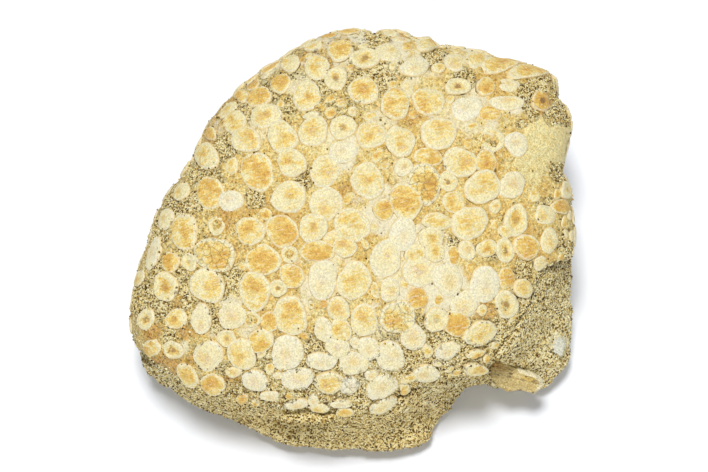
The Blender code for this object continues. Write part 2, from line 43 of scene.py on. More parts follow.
face = {  # the leaning face plane: u right, v up the face, w out of it, in millimetres
    "lean": 71.0,  # degrees that the face normal stands above the ground
    "front": -31.3,  # v of the lump's front foot
    "rimLevel": 10.0,  # w where the dome turns over
    "rise": 12.0,
    "power": 2.8,  # 2 is an ellipse, more is flatter on top
    "undercut": 0.012,  # how fast the dome draws in below its rim
    "rimInset": 0.3,  # how far the dome's rim stands inside the outline
    "bareLedge": 1.4,  # how far the dome runs on past the broken margin
    "wrapWidth": 1.5,  # where more sand than this lies bare, the pavement doesn't wrap the rim
    "crust": 1.8,  # thickness of the tooth pavement
    "lip": 3.4,  # how far the pavement wraps below the rim
    "lipWaves": ((0.9, 3, 0.6), (0.5, 8, 0.0)),  # depth, number round the dome, shift
    "foot": (-1.089, -28.329),  # where the face's zero stands in the frame
}

outline = (  # the lump seen along the face normal, clockwise from the left
    (-31.8, -10.3), (-31.4, -7.4), (-30.2, -2.9), (-29.0, 0.0), (-28.3, 2.9), (-27.0, 5.9), (-24.7, 8.8),
    (-22.8, 11.8), (-21.5, 14.7), (-20.0, 17.7), (-17.5, 20.6), (-14.4, 23.6), (-10.2, 26.5), (-6.6, 28.8),
    (-2.9, 30.5), (1.0, 31.4), (4.0, 30.8), (7.5, 31.1), (10.8, 29.9), (12.5, 30.0), (14.0, 28.6),
    (18.0, 28.4), (21.1, 27.8), (22.8, 26.8), (25.8, 26.4), (30.0, 25.0), (31.2, 23.9), (31.7, 21.1),
    (32.8, 19.7), (33.6, 17.4), (33.4, 15.5), (32.7, 12.5), (32.3, 10.0), (33.6, 7.4), (33.4, 5.6),
    (34.0, 1.8), (33.7, -2.9), (33.3, -5.2), (33.4, -9.6), (33.4, -14.0), (33.1, -17.1), (32.0, -19.3),
    (30.6, -20.9), (29.0, -21.7), (27.3, -21.7), (25.2, -21.5), (22.8, -21.5), (21.1, -21.5), (18.4, -22.2),
    (16.4, -23.7), (14.7, -25.3), (13.7, -27.5), (12.5, -29.5), (11.2, -30.8), (8.1, -31.2), (2.2, -31.3),
    (-2.2, -31.2), (-6.6, -30.8), (-11.0, -29.5), (-15.5, -27.3), (-21.4, -24.9), (-24.3, -23.3),
    (-27.3, -20.9), (-29.2, -19.1), (-30.7, -16.2), (-31.7, -13.3),
)

margin = (  # where the pavement breaks off on bare sand, right to left by the front
    (33.7, -2.7), (31.7, -3.2), (29.5, -4.4), (28.7, -6.6), (27.5, -9.3), (26.1, -11.8), (24.6, -14.0),
    (22.8, -16.2), (20.9, -19.1), (16.9, -20.3), (14.0, -20.9), (11.8, -21.4), (8.1, -23.3), (6.6, -24.7),
    (4.0, -25.6), (1.8, -25.9), (-1.5, -25.8), (-5.2, -25.3), (-8.8, -25.2), (-12.2, -24.7), (-16.9, -23.9),
    (-20.6, -23.0), (-23.6, -21.4), (-26.5, -19.4), (-28.7, -18.0), (-30.2, -16.2),
)


def softStep(low, high, values):
    share = np.clip((values - low) / (high - low), 0.0, 1.0)
    return share * share * (3 - 2 * share)


def bearing(u, v):  # direction and distance from the middle
    return np.arctan2(v, u), np.hypot(u, v)


def arm(theta, length):  # u and v of so long a step in that direction
    return np.array((length * np.cos(theta), length * np.sin(theta)))


def polar(corners):  # their directions and radii, in order
    rows = sorted((math.atan2(v, u), math.hypot(u, v)) for u, v in corners)
    return np.array(rows).T


outlineDirections, outlineRadii = polar(outline)
marginDirections, marginRadii = polar(margin)


def outlineRadius(theta):
    return np.interp(theta, outlineDirections, outlineRadii, period=2 * math.pi)


def marginRadius(theta):
    broken = np.interp(theta, marginDirections, marginRadii)
    bare = (theta > marginDirections[0]) & (theta < marginDirections[-1])
    return np.where(bare, np.minimum(outlineRadius(theta), broken), outlineRadius(theta))


def bareWidth(theta):
    return outlineRadius(theta) - marginRadius(theta)


def wrapShare(theta):  # 1 where the pavement wraps over the rim, 0 where it ends on sand
    return softStep(face["wrapWidth"], 0.0, bareWidth(theta))


def rimRadius(theta):
    inset = face["rimInset"]
    return marginRadius(theta) - inset + np.minimum(0.5 * bareWidth(theta), face["bareLedge"] + inset)


def section(theta, rho, depth=0.0):  # radius and level of the dome, sunk by depth; rho is 1 at the rim
    angle = np.minimum(rho, 1.0) * math.pi / 2
    power = face["power"]
    reach = (np.sin(angle) ** power + np.cos(angle) ** power) ** (-1 / power)
    below = np.maximum(rho - 1.0, 0.0) * math.pi / 2 * face["rise"]
    radius = (rimRadius(theta) - depth) * reach * np.sin(angle) - face["undercut"] * below ** 2
    level = face["rimLevel"] + (face["rise"] - depth) * reach * np.cos(angle) - below
    return radius, level


# the dome rolled out flat: distance over the surface against the share rho of the way to the rim
rhoSteps = np.linspace(0.0, 1.6, 129)
onTop = rhoSteps <= 1.0
turnSteps = 720
taperSteps = 61  # how many of them the lip takes to taper off
sheetStep = 0.1
sheetReach = 56.0


def overDome(theta):  # radius on the face and distance over the dome, at each rho
    radii, levels = section(theta, rhoSteps)
    return radii, np.concatenate(([0.0], np.cumsum(np.hypot(np.diff(radii), np.diff(levels)))))


def distanceAt(theta, radius):  # over the dome, for a radius seen on the face
    radii, along = overDome(theta)
    return float(np.interp(radius, radii[onTop], along[onTop]))


domeDirections = np.linspace(-math.pi, math.pi, turnSteps + 1)
around = np.concatenate([wrapShare(domeDirections[:-1])] * 3)
around = np.convolve(around, np.full(taperSteps, 1 / taperSteps), "same")[turnSteps:2 * turnSteps + 1]
lipShare = np.clip(around * 2 - 1, 0.0, 1.0)  # the lip tapers to the corners
sheetSteps = np.arange(0.0, sheetReach, sheetStep)
rhoTable, marginTable, rimTable = [], [], []
for direction, lip in zip(domeDirections, lipShare):
    _, along = overDome(direction)
    rhoTable.append(np.interp(sheetSteps, along, rhoSteps))
    ragged = face["lip"] + sum(depth * math.sin(count * direction + shift)
                               for depth, count, shift in face["lipWaves"])
    marginTable.append(distanceAt(direction, float(marginRadius(direction))) + ragged * lip)
    rimTable.append(float(np.interp(1.0, rhoSteps, along)))
rhoTable = np.array(rhoTable)


def rhoAt(theta, distance):
    row = (np.asarray(theta) + math.pi) / (2 * math.pi) * turnSteps
    column = np.minimum(np.asarray(distance) / sheetStep, len(sheetSteps) - 2)
    r0 = np.clip(row.astype(int), 0, turnSteps - 1)
    c0 = column.astype(int)
    fr, fc = row - r0, column - c0
    low = rhoTable[r0, c0] * (1 - fc) + rhoTable[r0, c0 + 1] * fc
    high = rhoTable[r0 + 1, c0] * (1 - fc) + rhoTable[r0 + 1, c0 + 1] * fc
    return low * (1 - fr) + high * fr


def marginDistance(theta):
    return np.interp(theta, domeDirections, marginTable)


def rimDistance(theta):
    return np.interp(theta, domeDirections, rimTable)


faceLean = math.radians(face["lean"])
leanSin, leanCos = math.sin(faceLean), math.cos(faceLean)
footX, footY = face["foot"]


def toFrame(u, v, w):  # face plane millimetres to frame metres
    up = v - face["front"]
    y = up * leanSin - w * leanCos + footY
    return np.stack((u + footX, y, up * leanCos + w * leanSin), axis=-1) * mm


def toFace(co):  # and back
    x, y, z = (np.asarray(co) / mm).T
    y = y - footY
    return x - footX, y * leanSin + z * leanCos + face["front"], z * leanSin - y * leanCos


def sheetToFrame(sheet):  # x, y over the rolled-out dome and z above it
    theta, distance = bearing(sheet[:, 0], sheet[:, 1])
    radius, level = section(theta, rhoAt(theta, distance), -sheet[:, 2])
    return toFrame(*arm(theta, radius), level)


def points(piece):
    co = np.empty(len(piece.data.vertices) * 3)
    piece.data.vertices.foreach_get("co", co)
    return co.reshape(-1, 3)


def setPoints(piece, co):
    piece.data.vertices.foreach_set("co", np.ascontiguousarray(co, dtype=np.float32).ravel())
    piece.data.update()


def paint(piece, **layers):  # numbers on each vertex, for the materials
    for name, values in layers.items():
        layer = piece.data.attributes.new(name, "FLOAT", "POINT")
        layer.data.foreach_set("value", np.ascontiguousarray(values, dtype=np.float32))


def painted(piece, name):
    values = np.empty(len(piece.data.vertices), dtype=np.float32)
    piece.data.attributes[name].data.foreach_get("value", values)
    return values


def noiseAt(co, size, seed=0.0):  # smooth noise from -1 to 1 with features of that size
    shift = Vector((seed, seed * 1.7, -seed))
    return np.array([noise.noise(Vector(p) / size + shift) for p in co])


def blobs(u, v, spots, torn):  # strength of soft patches, their edges torn by noise
    total = np.zeros(len(u))
    for pu, pv, radius, strength in spots:
        gap = np.hypot(u - pu, v - pv) / radius + 0.75 * torn
        total = np.maximum(total, strength * softStep(1.35, 0.5, gap))
    return total


def only(piece):  # nothing selected but this piece
    bpy.ops.object.select_all(action="DESELECT")
    piece.select_set(True)
    bpy.context.view_layer.objects.active = piece


def setMode(mode):
    bpy.ops.object.mode_set(mode=mode)


def fresh(add, **settings):  # a new primitive, light or camera, with nothing else selected
    bpy.ops.object.select_all(action="DESELECT")
    add(**settings)
    return bpy.context.object


def finishPiece(piece, material):
    only(piece)
    bpy.ops.object.shade_smooth()
    piece.data.materials.append(material)
    print(piece.name, "made:", len(piece.data.polygons), "faces")


def applyModifier(piece, kind, **settings):
    only(piece)
    made = piece.modifiers.new(kind.lower(), kind)
    for name, value in settings.items():
        setattr(made, name, value)
    bpy.ops.object.modifier_apply(modifier=made.name)


def roughen(piece, clouds):  # pushed in and out by noise: name, size and depth in millimetres
    for name, (size, depth) in clouds.items():
        texture = bpy.data.textures.new(name, "CLOUDS")
        texture.noise_scale = size * mm
        applyModifier(piece, "DISPLACE", texture=texture, strength=depth * mm, mid_level=0.5,
                      texture_coords="LOCAL")


def linked(name, mesh):
    piece = bpy.data.objects.new(name, mesh)
    bpy.context.collection.objects.link(piece)
    return piece


def copyOfNode(node, name, voxel):  # a merged and remeshed copy of a CAD solid to work from
    piece = linked(name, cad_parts[node].data.copy())
    piece.data.materials.clear()
    only(piece)
    setMode("EDIT")
    bpy.ops.mesh.select_all(action="SELECT")
    bpy.ops.mesh.remove_doubles(threshold=1e-6)
    setMode("OBJECT")
    applyModifier(piece, "REMESH", mode="VOXEL", voxel_size=voxel * mm)
    return piece


def fillSockets(node, sockets):  # taps are linked, plain values set
    for name, value in sockets.items():
        if isinstance(value, Tap):
            value.tree.links.new(value.socket, node.inputs[name])
        else:
            node.inputs[name].default_value = value


class Tap:  # wraps a socket so that masks read as sums
    def __init__(self, tree, socket=None):
        self.tree, self.socket = tree, socket

    def node(self, kind, settings=None, sockets=None, out=0):
        made = self.tree.nodes.new("ShaderNode" + kind)
        for name, value in (settings or {}).items():
            if name == "stops":
                elements = made.color_ramp.elements
                while len(elements) < len(value):
                    elements.new(0.5)
                for element, (position, colour) in zip(elements, value):
                    element.position, element.color = position, colour
            else:
                setattr(made, name, value)
        fillSockets(made, sockets or {})
        return Tap(self.tree, made.outputs[out])

    def maths(self, operation, first, second):
        return self.node("Math", {"operation": operation}, {0: first, 1: second})

    def __add__(self, other):
        return self.maths("ADD", self, other)

    def __sub__(self, other):
        return self.maths("SUBTRACT", self, other)

    def __rsub__(self, other):
        return self.maths("SUBTRACT", other, self)

    def __mul__(self, other):
        return self.maths("MULTIPLY", self, other)

    __radd__, __rmul__ = __add__, __mul__

    def step(self, low, high):  # 0 below low, 1 above high, smooth between
        return self.node("MapRange", {"interpolation_type": "SMOOTHSTEP"},
                         {"Value": self, "From Min": low, "From Max": high})

    def mix(self, first, second):  # colours blended by this mask
        return self.node("Mix", {"data_type": "RGBA"}, {0: self, 6: first, 7: second}, out=2)

    def vector(self, operation, other):
        return self.node("VectorMath", {"operation": operation}, {0: self, 1: other})

    def scaled(self, factor):
        return self.node("VectorMath", {"operation": "SCALE"}, {0: self, "Scale": factor})

    def shifted(self, x, y):
        return self.vector("ADD", self.node("CombineXYZ", {}, {0: x, 1: y}))

    def stretched(self, scale, turn=(0.0, 0.0, 0.0)):
        return self.node("Mapping", {"vector_type": "TEXTURE"},
                         {"Vector": self, "Rotation": turn, "Scale": (*scale, 1.0)})

    def noise(self, size, detail=2.0, rough=0.55, seed=0.0):  # -0.5 to 0.5, size in millimetres
        moved = self.vector("ADD", (seed, seed, seed))
        return self.node("TexNoise", {}, {"Vector": moved, "Scale": 1.0 / size, "Detail": detail,
                                          "Roughness": rough}) - 0.5

    def cells(self, scale, out=0):  # a random number for each cell
        made = self.node("TexVoronoi", {}, {"Vector": self, "Scale": scale}, out=1)
        return made.node("SeparateColor", {}, {0: made}, out=out)

    def painted(self, name):
        return self.node("Attribute", {"attribute_name": name}, out=2)


studioLight = 1.12  # how brightly the studio shows a white


def srgb(red, green, blue, light=studioLight):  # a colour as the screen shows it under that much light
    linear = (c / 255 / 12.92 if c <= 10 else ((c / 255 + 0.055) / 1.055) ** 2.4 for c in (red, green, blue))
    return (*(c / light for c in linear), 1.0)


def newMaterial(name):
    material = bpy.data.materials.new(name)
    material.use_nodes = True
    return material


def startMaterial(name):  # a material and its millimetre coordinates
    material = newMaterial(name)
    return material, Tap(material.node_tree).node("TexCoord", out=3).scaled(1 / mm)


def finishMaterial(material, colour, roughness, specular=0.5, height=None):  # height in millimetres
    sockets = {"Base Color": colour, "Roughness": roughness, "Specular IOR Level": specular}
    if height:
        sockets["Normal"] = height.node("Bump", {}, {"Height": height, "Distance": mm, "Strength": 1.0})
    fillSockets(material.node_tree.nodes["Principled BSDF"], sockets)
    return material


def layered(palette, colour, *layers):  # colours of the palette one over the other, each by its mask
    for mask, name in layers:
        colour = mask.mix(colour, palette[name])
    return colour


print("frame loaded, dome rolled out")


sand = {  # cemented grains of quartz, phosphate and shell
    "grain": 0.22,  # millimetres across
    "shade": 0.176,  # size of the cells that differ in brightness
    "dark": srgb(66, 45, 9),
    "brown": srgb(148, 116, 46),
    "tan": srgb(213, 189, 121),
    "cream": srgb(249, 229, 161),
    "white": srgb(255, 246, 200),
    "stops": ((0.0, "dark"), (0.15, "dark"), (0.21, "brown"), (0.4, "tan"), (0.56, "cream"),
              (0.74, "white")),
    "stains": (srgb(214, 186, 118), srgb(176, 152, 98)),
    "stained": 0.1,
    "clear": (1.0, 1.0, 1.0, 1.0),
    "iron": (1.02, 0.95, 0.8, 1.0),  # tint of the stained sand
    "roughness": 0.92,
}


def sandColour(place):  # speckled from grain to grain
    pick = place.cells(1 / sand["grain"])
    stops = [(position, sand[name]) for position, name in sand["stops"]]
    speckle = pick.node("ValToRGB", {"stops": stops}, {"Fac": pick})
    stain = place.noise(3.4, 3.0, 0.6, 11.0).step(-0.2, 0.2).mix(*sand["stains"])
    return place.node("Mix", {"data_type": "RGBA"}, {0: sand["stained"], 6: speckle, 7: stain}, out=2)


def grainLight(place, dim, bright):  # brightness that changes from grain to grain
    return place.cells(1 / sand["shade"], 1) * (bright - dim) + dim


def sandHeight(place):  # in millimetres
    near = place.node("TexVoronoi", {}, {"Vector": place, "Scale": 1 / sand["grain"]})
    return (1 - near) * 0.12 + place.noise(0.9, 3.0, 0.6, 4.0) * 0.22 + 0.11


def makeSandMaterial():
    material, place = startMaterial("phosphateSand")
    front = place.node("SeparateXYZ", {}, {0: place}, out=1).step(-20.0, -28.0)
    stained = (place.noise(5.0, 3.0, 0.6, 3.0) + front * 0.4).step(-0.06, 0.32)
    colour = sandColour(place).vector("MULTIPLY", stained.mix(sand["clear"], sand["iron"]))
    bleached = (place.painted("bleached") + place.noise(0.6, 3.0, 0.7, 6.0) * 1.6).step(0.35, 0.75)
    colour = (bleached * 0.6).mix(colour, sand["white"])
    return finishMaterial(material, colour, sand["roughness"], 0.25, sandHeight(place))


lump = {
    "voxel": 0.42,  # millimetres
    "fillet": (0.55, 0.45),  # how far the sand stands below the broken margin, and less at the right end
    "fill": (4.6, 4.0),  # how far from the margin the fill reaches, and how high at most
    "clouds": {"lumps": (5.5, 0.9), "knobs": (1.5, 0.5), "grains": (0.55, 0.22)},  # size and depth
    "rollOut": (1.0, 4.2, 1.8),  # how far the front wall bellies out, at what height, and its half width
    "rollIn": 2.2,  # how far its foot stands back
    "dents": (8.0, 2.0),  # size and depth on the flanks
    "seam": 3.4,  # how far below the pavement's lip sand clings to the flanks
    "clinging": 2.6,  # and how far out at most
    "bleached": ((31.8, -15.2, 1.7, 1.0), (12.8, -24.0, 1.4, 0.6)),  # u, v, radius, strength
}

# hollows and ridges of the front wall on the face plane: u, v, half width, half height, rise, push inwards
wallForms = (
    (-7.0, -27.3, 5.6, 1.4, -1.0, 3.3), (-5.6, -25.7, 5.6, 0.8, 1.1, -1.0),
    (12.4, -26.6, 3.0, 2.0, -0.7, 0.5), (29.0, -12.0, 3.0, 4.0, -0.5, 0.0),
    (-21.0, -26.0, 4.0, 1.6, 0.5, 0.0), (4.6, -29.4, 4.0, 1.2, 0.5, -0.3),
)

# how far the wall's outline is let out or taken in: direction in degrees, millimetres
wallSwells = (
    (-180, 0.1), (-168, 0.3), (-163, 0.5), (-156, 0.4), (-152, 1.0), (-148, 0.85), (-144, -0.2),
    (-140, -0.7), (-134, -0.3), (-128, -0.5), (-123, -0.5), (-120, -0.3), (-115, 0.1), (-108, 0.2),
    (-100, 0.0), (-94, 0.3), (-86, 0.0), (-78, 0.4), (-68, 1.0), (-64, 1.1), (-60, 1.0), (-56, -0.2),
    (-52, -0.9), (-46, -1.1), (-42, 0.0), (-36, 0.5), (-24, 0.35), (-18, 0.5), (-14, 0.3), (-10, 0.5),
    (-6, 0.6), (-3, 0.6), (2, 0.2), (12, 0.2), (17, 0.5), (22, 0.2), (31, 0.6), (35, 0.3), (50, 0.2),
    (56, 0.6), (62, 0.6), (66, 0.2), (84, 0.2), (88, 0.5), (92, 0.2), (156, 0.2), (160, 0.5), (164, 0.2),
    (180, 0.1),
)

splinterSeat = {
    "corners": ((20.9, -18.6), (22.4, -17.8), (25.4, -18.8), (29.4, -20.6), (29.6, -22.0), (28.0, -23.2),
                (24.2, -22.9), (21.4, -21.6)),  # u, v round the splinter
    "level": (7.2, -18.2, 0.26),  # w of its top at that v, and its slope
    "sunk": 0.25,
    "soft": 0.5,  # width of the seat's edge
}


def insideSplinter(u, v):  # 1 well inside its corners, 0 outside
    corners = np.array(splinterSeat["corners"])
    inside = np.full(len(u), np.inf)
    for here, there in zip(corners, np.roll(corners, -1, axis=0)):
        du, dv = there - here
        inside = np.minimum(inside, ((v - here[1]) * du - (u - here[0]) * dv) / -math.hypot(du, dv))
    return softStep(-splinterSeat["soft"], 0.0, inside)


def shapeWall(piece):
    u, v, w = toFace(points(piece))
    theta, radius = bearing(u, v)
    directions, pushes = np.array(wallSwells, dtype=float).T
    atWall = softStep(-5.0, -1.0, radius - outlineRadius(theta))
    u, v = arm(theta, np.interp(np.degrees(theta), directions, pushes) * atWall) + (u, v)
    level, fromV, slope = splinterSeat["level"]
    seat = level + (v - fromV) * slope - splinterSeat["sunk"]
    w = w - np.maximum(w - seat, 0.0) * insideSplinter(u, v)
    top = w > 0.0
    for pu, pv, du, dv, rise, inward in wallForms:
        share = top * softStep(1.2, 0.2, np.hypot((u - pu) / du, (v - pv) / dv))
        w = w + rise * share
        v = v + inward * share
    co = toFrame(u, v, w)
    height = co[:, 2] / mm
    front = softStep(-25.0, -28.5, v) * softStep(-18.0, -8.0, u)
    out, middle, width = lump["rollOut"]
    roll = out * np.exp(-((height - middle) / width) ** 2) - lump["rollIn"] * softStep(3.2, 0.4, height)
    co[:, 1] -= front * roll * mm
    setPoints(piece, co)


def roughenFlanks(piece):  # dents, and sand clinging to the plate's edge
    u, v, w = toFace(points(piece))
    co = points(piece) / mm
    theta, radius = bearing(u, v)
    flank = wrapShare(theta) * softStep(-5.0, -3.0, radius - outlineRadius(theta))
    size, depth = lump["dents"]
    dents = softStep(-0.15, 0.7, noiseAt(co, size, 31.0)) * depth * softStep(1.5, -3.0, w)
    lipRadius, lipLevel = section(theta, rhoAt(theta, marginDistance(theta)))
    below = lipLevel - w
    clinging = noiseAt(co, 4.2, 12.0) + 0.4 * noiseAt(co, 1.6, 15.0)
    seam = softStep(lump["seam"], 1.0, below) * softStep(-2.2 * softStep(0.0, 0.5, clinging), 0.1, below)
    reach = np.clip(lipRadius + 0.15 + 0.55 * clinging - radius, 0.0, lump["clinging"])
    u, v = arm(theta, flank * (seam * reach - dents * (1 - seam))) + (u, v)
    setPoints(piece, toFrame(u, v, w))


def fillAgainstPlate(piece):  # brings the sand up flush with the broken margin
    u, v, w = toFace(points(piece))
    theta, radius = bearing(u, v)
    outward = radius - marginRadius(theta)
    bearings = np.linspace(marginDirections[0], marginDirections[-1], 500)
    broken = marginRadius(bearings)
    rho = rhoAt(bearings, np.array([distanceAt(t, r) for t, r in zip(bearings, broken)]))
    fillet, less = lump["fillet"]
    _, top = section(bearings, rho, fillet - less * softStep(-0.35, -0.15, bearings))
    brokenU, brokenV = arm(bearings, broken)
    apart = np.hypot(u[:, None] - brokenU, v[:, None] - brokenV)
    nearest, away = apart.argmin(axis=1), apart.min(axis=1)
    width, most = lump["fill"]
    near = softStep(width, 0.0, away) * softStep(-2.2, -1.2, outward)
    near = near * (1.0 - wrapShare(theta) * (outward < 0))
    lift = np.clip(top[nearest] - w - away * 0.7, 0.0, most)
    setPoints(piece, toFrame(u, v, w + np.where(w > 0.5, lift * near, 0.0)))


def makeLump():
    piece = copyOfNode("matrix", "sandLump", lump["voxel"])
    fillAgainstPlate(piece)
    shapeWall(piece)
    roughenFlanks(piece)
    roughen(piece, lump["clouds"])
    co = points(piece)
    co[:, 2] = np.maximum(co[:, 2], 0.0)
    setPoints(piece, co)
    u, v, _ = toFace(co)
    paint(piece, bleached=blobs(u, v, lump["bleached"], 0.0))
    finishPiece(piece, makeSandMaterial())
    return piece


sandLump = makeLump()


crust = {
    "cell": 0.4,  # millimetres between vertices
    "reach": 44.0,  # half the width of the grid it is cut from
    "relief": ((6.0, 0.28, 7.0), (0.9, 0.16, 1.0), (0.45, 0.1, 6.0)),  # size, depth and seed
    "ragged": 0.8,  # how far the broken margin wanders inwards
    "sandSink": 0.26,  # how deep the sandy gaps lie
    "cream": srgb(246, 230, 163),
    "ochre": srgb(239, 198, 94),
    "deep": srgb(214, 162, 60),
    "rust": srgb(200, 126, 38),
    "pale": srgb(246, 238, 203),
    "speck": srgb(132, 96, 44),
    "chalk": (srgb(252, 225, 144), srgb(255, 242, 178)),
    "roughness": 0.72,
}

# what lies between the teeth: u, v, radius, strength
patches = {
    "sandy": (  # loose sand in the gaps
        (4.0, 24.2, 3.2, 0.9), (-2.8, 22.4, 1.4, 0.9), (-6.2, 9.0, 1.6, 1.0), (-16.6, -5.8, 2.0, 1.0),
        (-18.8, -12.6, 1.4, 1.0), (-29.0, -8.6, 2.6, 1.0), (-27.6, 1.2, 1.6, 1.0), (-23.2, -7.0, 1.4, 1.0),
        (4.7, 29.8, 2.0, 1.0), (13.1, 27.3, 2.1, 1.0), (28.4, 22.6, 1.8, 0.9), (31.2, 9.6, 1.6, 0.9),
        (26.6, 19.8, 1.4, 0.8), (30.6, 18.6, 1.5, 0.9), (26.0, 17.0, 1.0, 0.8), (31.6, 21.6, 1.5, 0.9),
        (32.4, -0.4, 1.6, 0.9), (26.6, -4.4, 1.8, 1.0), (-4.4, -15.8, 1.4, 0.9), (9.8, -17.2, 1.9, 0.9),
        (16.4, -0.4, 1.4, 0.9), (-20.6, 9.6, 2.4, 1.0), (-24.6, 4.6, 2.0, 1.0), (-13.4, 6.4, 1.7, 0.9),
        (-17.6, 13.4, 2.0, 0.9), (-10.0, 6.0, 1.0, 0.7), (-14.6, 18.8, 1.8, 0.7), (-11.0, 21.4, 1.8, 0.8),
        (-8.0, 19.8, 1.2, 0.7), (-26.8, -9.8, 1.8, 0.8), (-22.6, -8.6, 1.4, 0.8), (-17.6, -22.0, 1.2, 0.7),
        (-14.0, -22.6, 1.8, 0.8), (-6.0, -23.4, 2.6, 0.9), (2.0, -24.6, 2.6, 1.0), (13.4, -20.4, 2.6, 0.9),
        (18.6, -17.4, 2.2, 0.9), (22.8, -13.6, 2.0, 0.8), (25.4, -9.0, 1.8, 0.8), (21.0, -1.6, 1.4, 0.6),
        (12.6, -12.0, 1.6, 0.8), (6.6, -7.4, 1.2, 0.7), (24.6, 3.4, 1.6, 0.7), (29.4, 4.6, 1.6, 0.7),
        (20.6, 13.2, 1.4, 0.5), (17.4, 23.6, 1.6, 0.7), (8.8, 25.0, 1.4, 0.7), (31.2, 21.8, 1.6, 0.8),
        (32.6, 18.2, 1.5, 0.8), (26.6, 21.8, 1.4, 0.9), (27.2, 18.2, 1.1, 0.7), (-25.6, -14.0, 1.0, 0.9),
        (-20.4, -9.0, 1.2, 1.0), (-18.6, -11.2, 1.2, 1.0), (-24.6, -5.4, 1.4, 0.9), (-27.8, -4.4, 1.4, 0.9),
        (-17.8, -7.6, 1.2, 0.9), (-22.0, 5.2, 1.6, 0.9),
    ),
    "ochre": (  # deep ochre ground
        (0.9, 7.0, 1.6, 1.0), (9.4, 18.4, 1.8, 1.0), (20.6, 11.4, 2.6, 1.0), (20.0, -10.4, 2.0, 1.0),
        (5.4, 1.8, 2.0, 1.0), (3.2, 0.2, 1.8, 1.0), (-12.9, 5.0, 2.0, 1.0), (-26.6, -18.2, 2.4, 0.8),
        (-8.6, 1.4, 3.0, 1.0), (-7.6, -5.2, 2.6, 0.9), (12.0, 12.0, 2.6, 0.9), (13.0, 8.6, 2.0, 0.9),
        (-11.0, -12.0, 2.4, 0.9), (26.6, -1.0, 2.6, 0.8), (22.6, 24.0, 3.2, 0.8), (28.0, 24.2, 3.0, 0.9),
        (-20.0, 17.0, 3.0, 0.8), (-2.0, 29.0, 4.0, 0.8), (15.4, 5.4, 1.6, 0.8), (10.6, -8.4, 1.8, 0.9),
        (28.8, 20.2, 1.9, 2.0), (-28.6, -13.4, 1.5, 1.6), (-23.4, -13.0, 1.4, 1.4), (-26.0, -18.0, 2.0, 1.8),
        (-16.8, -21.0, 1.4, 1.6), (-15.0, -21.8, 1.3, 1.4), (-16.8, -2.2, 1.3, 1.2), (-23.6, -9.4, 1.8, 1.4),
        (-17.2, 3.0, 1.4, 1.2), (-28.0, 1.6, 1.6, 1.3), (-30.6, -10.0, 1.4, 1.4), (-13.2, -4.6, 1.4, 1.0),
        (-22.0, -17.4, 1.4, 1.0), (8.6, 29.4, 1.6, 1.4), (-5.2, 26.6, 2.0, 0.9), (-16.4, 19.2, 2.2, 0.9),
    ),
    "pale": (  # bleached ground
        (6.0, 3.6, 4.4, 0.9), (11.4, -4.4, 6.0, 1.0), (14.6, -8.6, 4.8, 0.9), (-1.0, 12.8, 3.4, 0.9),
        (3.4, -16.2, 5.0, 0.7), (10.4, 25.4, 3.2, 0.7), (-3.4, -6.0, 4.2, 0.8), (18.0, 18.6, 4.0, 0.7),
        (30.0, 14.6, 3.6, 0.8), (5.2, -14.2, 4.0, 0.7), (8.6, 9.6, 2.2, 0.6), (7.6, 27.2, 3.0, 0.8),
        (25.4, 19.2, 1.8, 0.9), (11.4, -0.8, 4.0, 0.9), (-7.0, 23.6, 2.4, 0.7), (0.4, 25.6, 2.0, 0.7),
        (-12.8, 16.2, 2.4, 0.6), (5.6, 17.6, 2.2, 0.7), (-3.0, 29.6, 3.0, 0.7), (12.4, 28.4, 3.4, 0.8),
        (19.6, 27.2, 2.6, 0.7), (3.2, 30.2, 2.6, 0.9), (-11.0, 25.4, 2.0, 0.7), (-18.4, 16.0, 2.0, 0.6),
        (-23.6, -15.9, 1.2, 0.9), (-18.4, -13.4, 1.6, 0.8), (-14.0, -13.4, 1.8, 0.7),
        (-17.0, -8.6, 1.6, 0.8), (30.8, 18.8, 1.6, 0.9),
    ),
    "chalk": (  # chalky, granular ground without teeth
        (28.8, 13.6, 4.0, 1.0), (27.2, 15.8, 2.2, 0.9), (30.8, 11.6, 2.6, 0.9), (-3.0, 12.6, 2.4, 0.5),
        (31.4, 14.8, 2.4, 0.9), (27.4, 10.4, 2.2, 0.7),
    ),
}


def sandSpread(u, v):  # how far loose sand covers the left, front and top
    leftSide = softStep(-9.0, -23.0, u + 0.25 * v) * 0.2
    front = softStep(-8.0, -19.0, v - 0.15 * u) * softStep(-26.0, -12.0, u) * 0.6
    top = softStep(12.0, 20.0, v) * softStep(12.0, 2.0, u) * 0.27
    return np.maximum(np.maximum(leftSide, front), top)


def crustSheet():  # a fine grid cut to the pavement's margin
    size = 2 * crust["reach"]
    cells = int(size / crust["cell"])
    piece = fresh(bpy.ops.mesh.primitive_grid_add, x_subdivisions=cells, y_subdivisions=cells, size=size)
    piece.name = piece.data.name = "plateCrust"
    co = points(piece)
    theta, distance = bearing(co[:, 0], co[:, 1])
    limit = marginDistance(theta) - (1 - wrapShare(theta)) * crust["ragged"] * (0.5 + noiseAt(co, 1.6, 5.0))
    over = distance - limit
    mesh = piece.data
    mesh.vertices.foreach_set("select", over > crust["cell"] * 0.8)
    mesh.edges.foreach_set("select", np.zeros(len(mesh.edges), bool))
    mesh.polygons.foreach_set("select", np.zeros(len(mesh.polygons), bool))
    co[:, :2] *= np.where(over > 0, limit / np.maximum(distance, 1e-6), 1.0)[:, None]
    setPoints(piece, co)
    setMode("EDIT")
    bpy.ops.mesh.delete(type="VERT")
    setMode("OBJECT")
    return piece


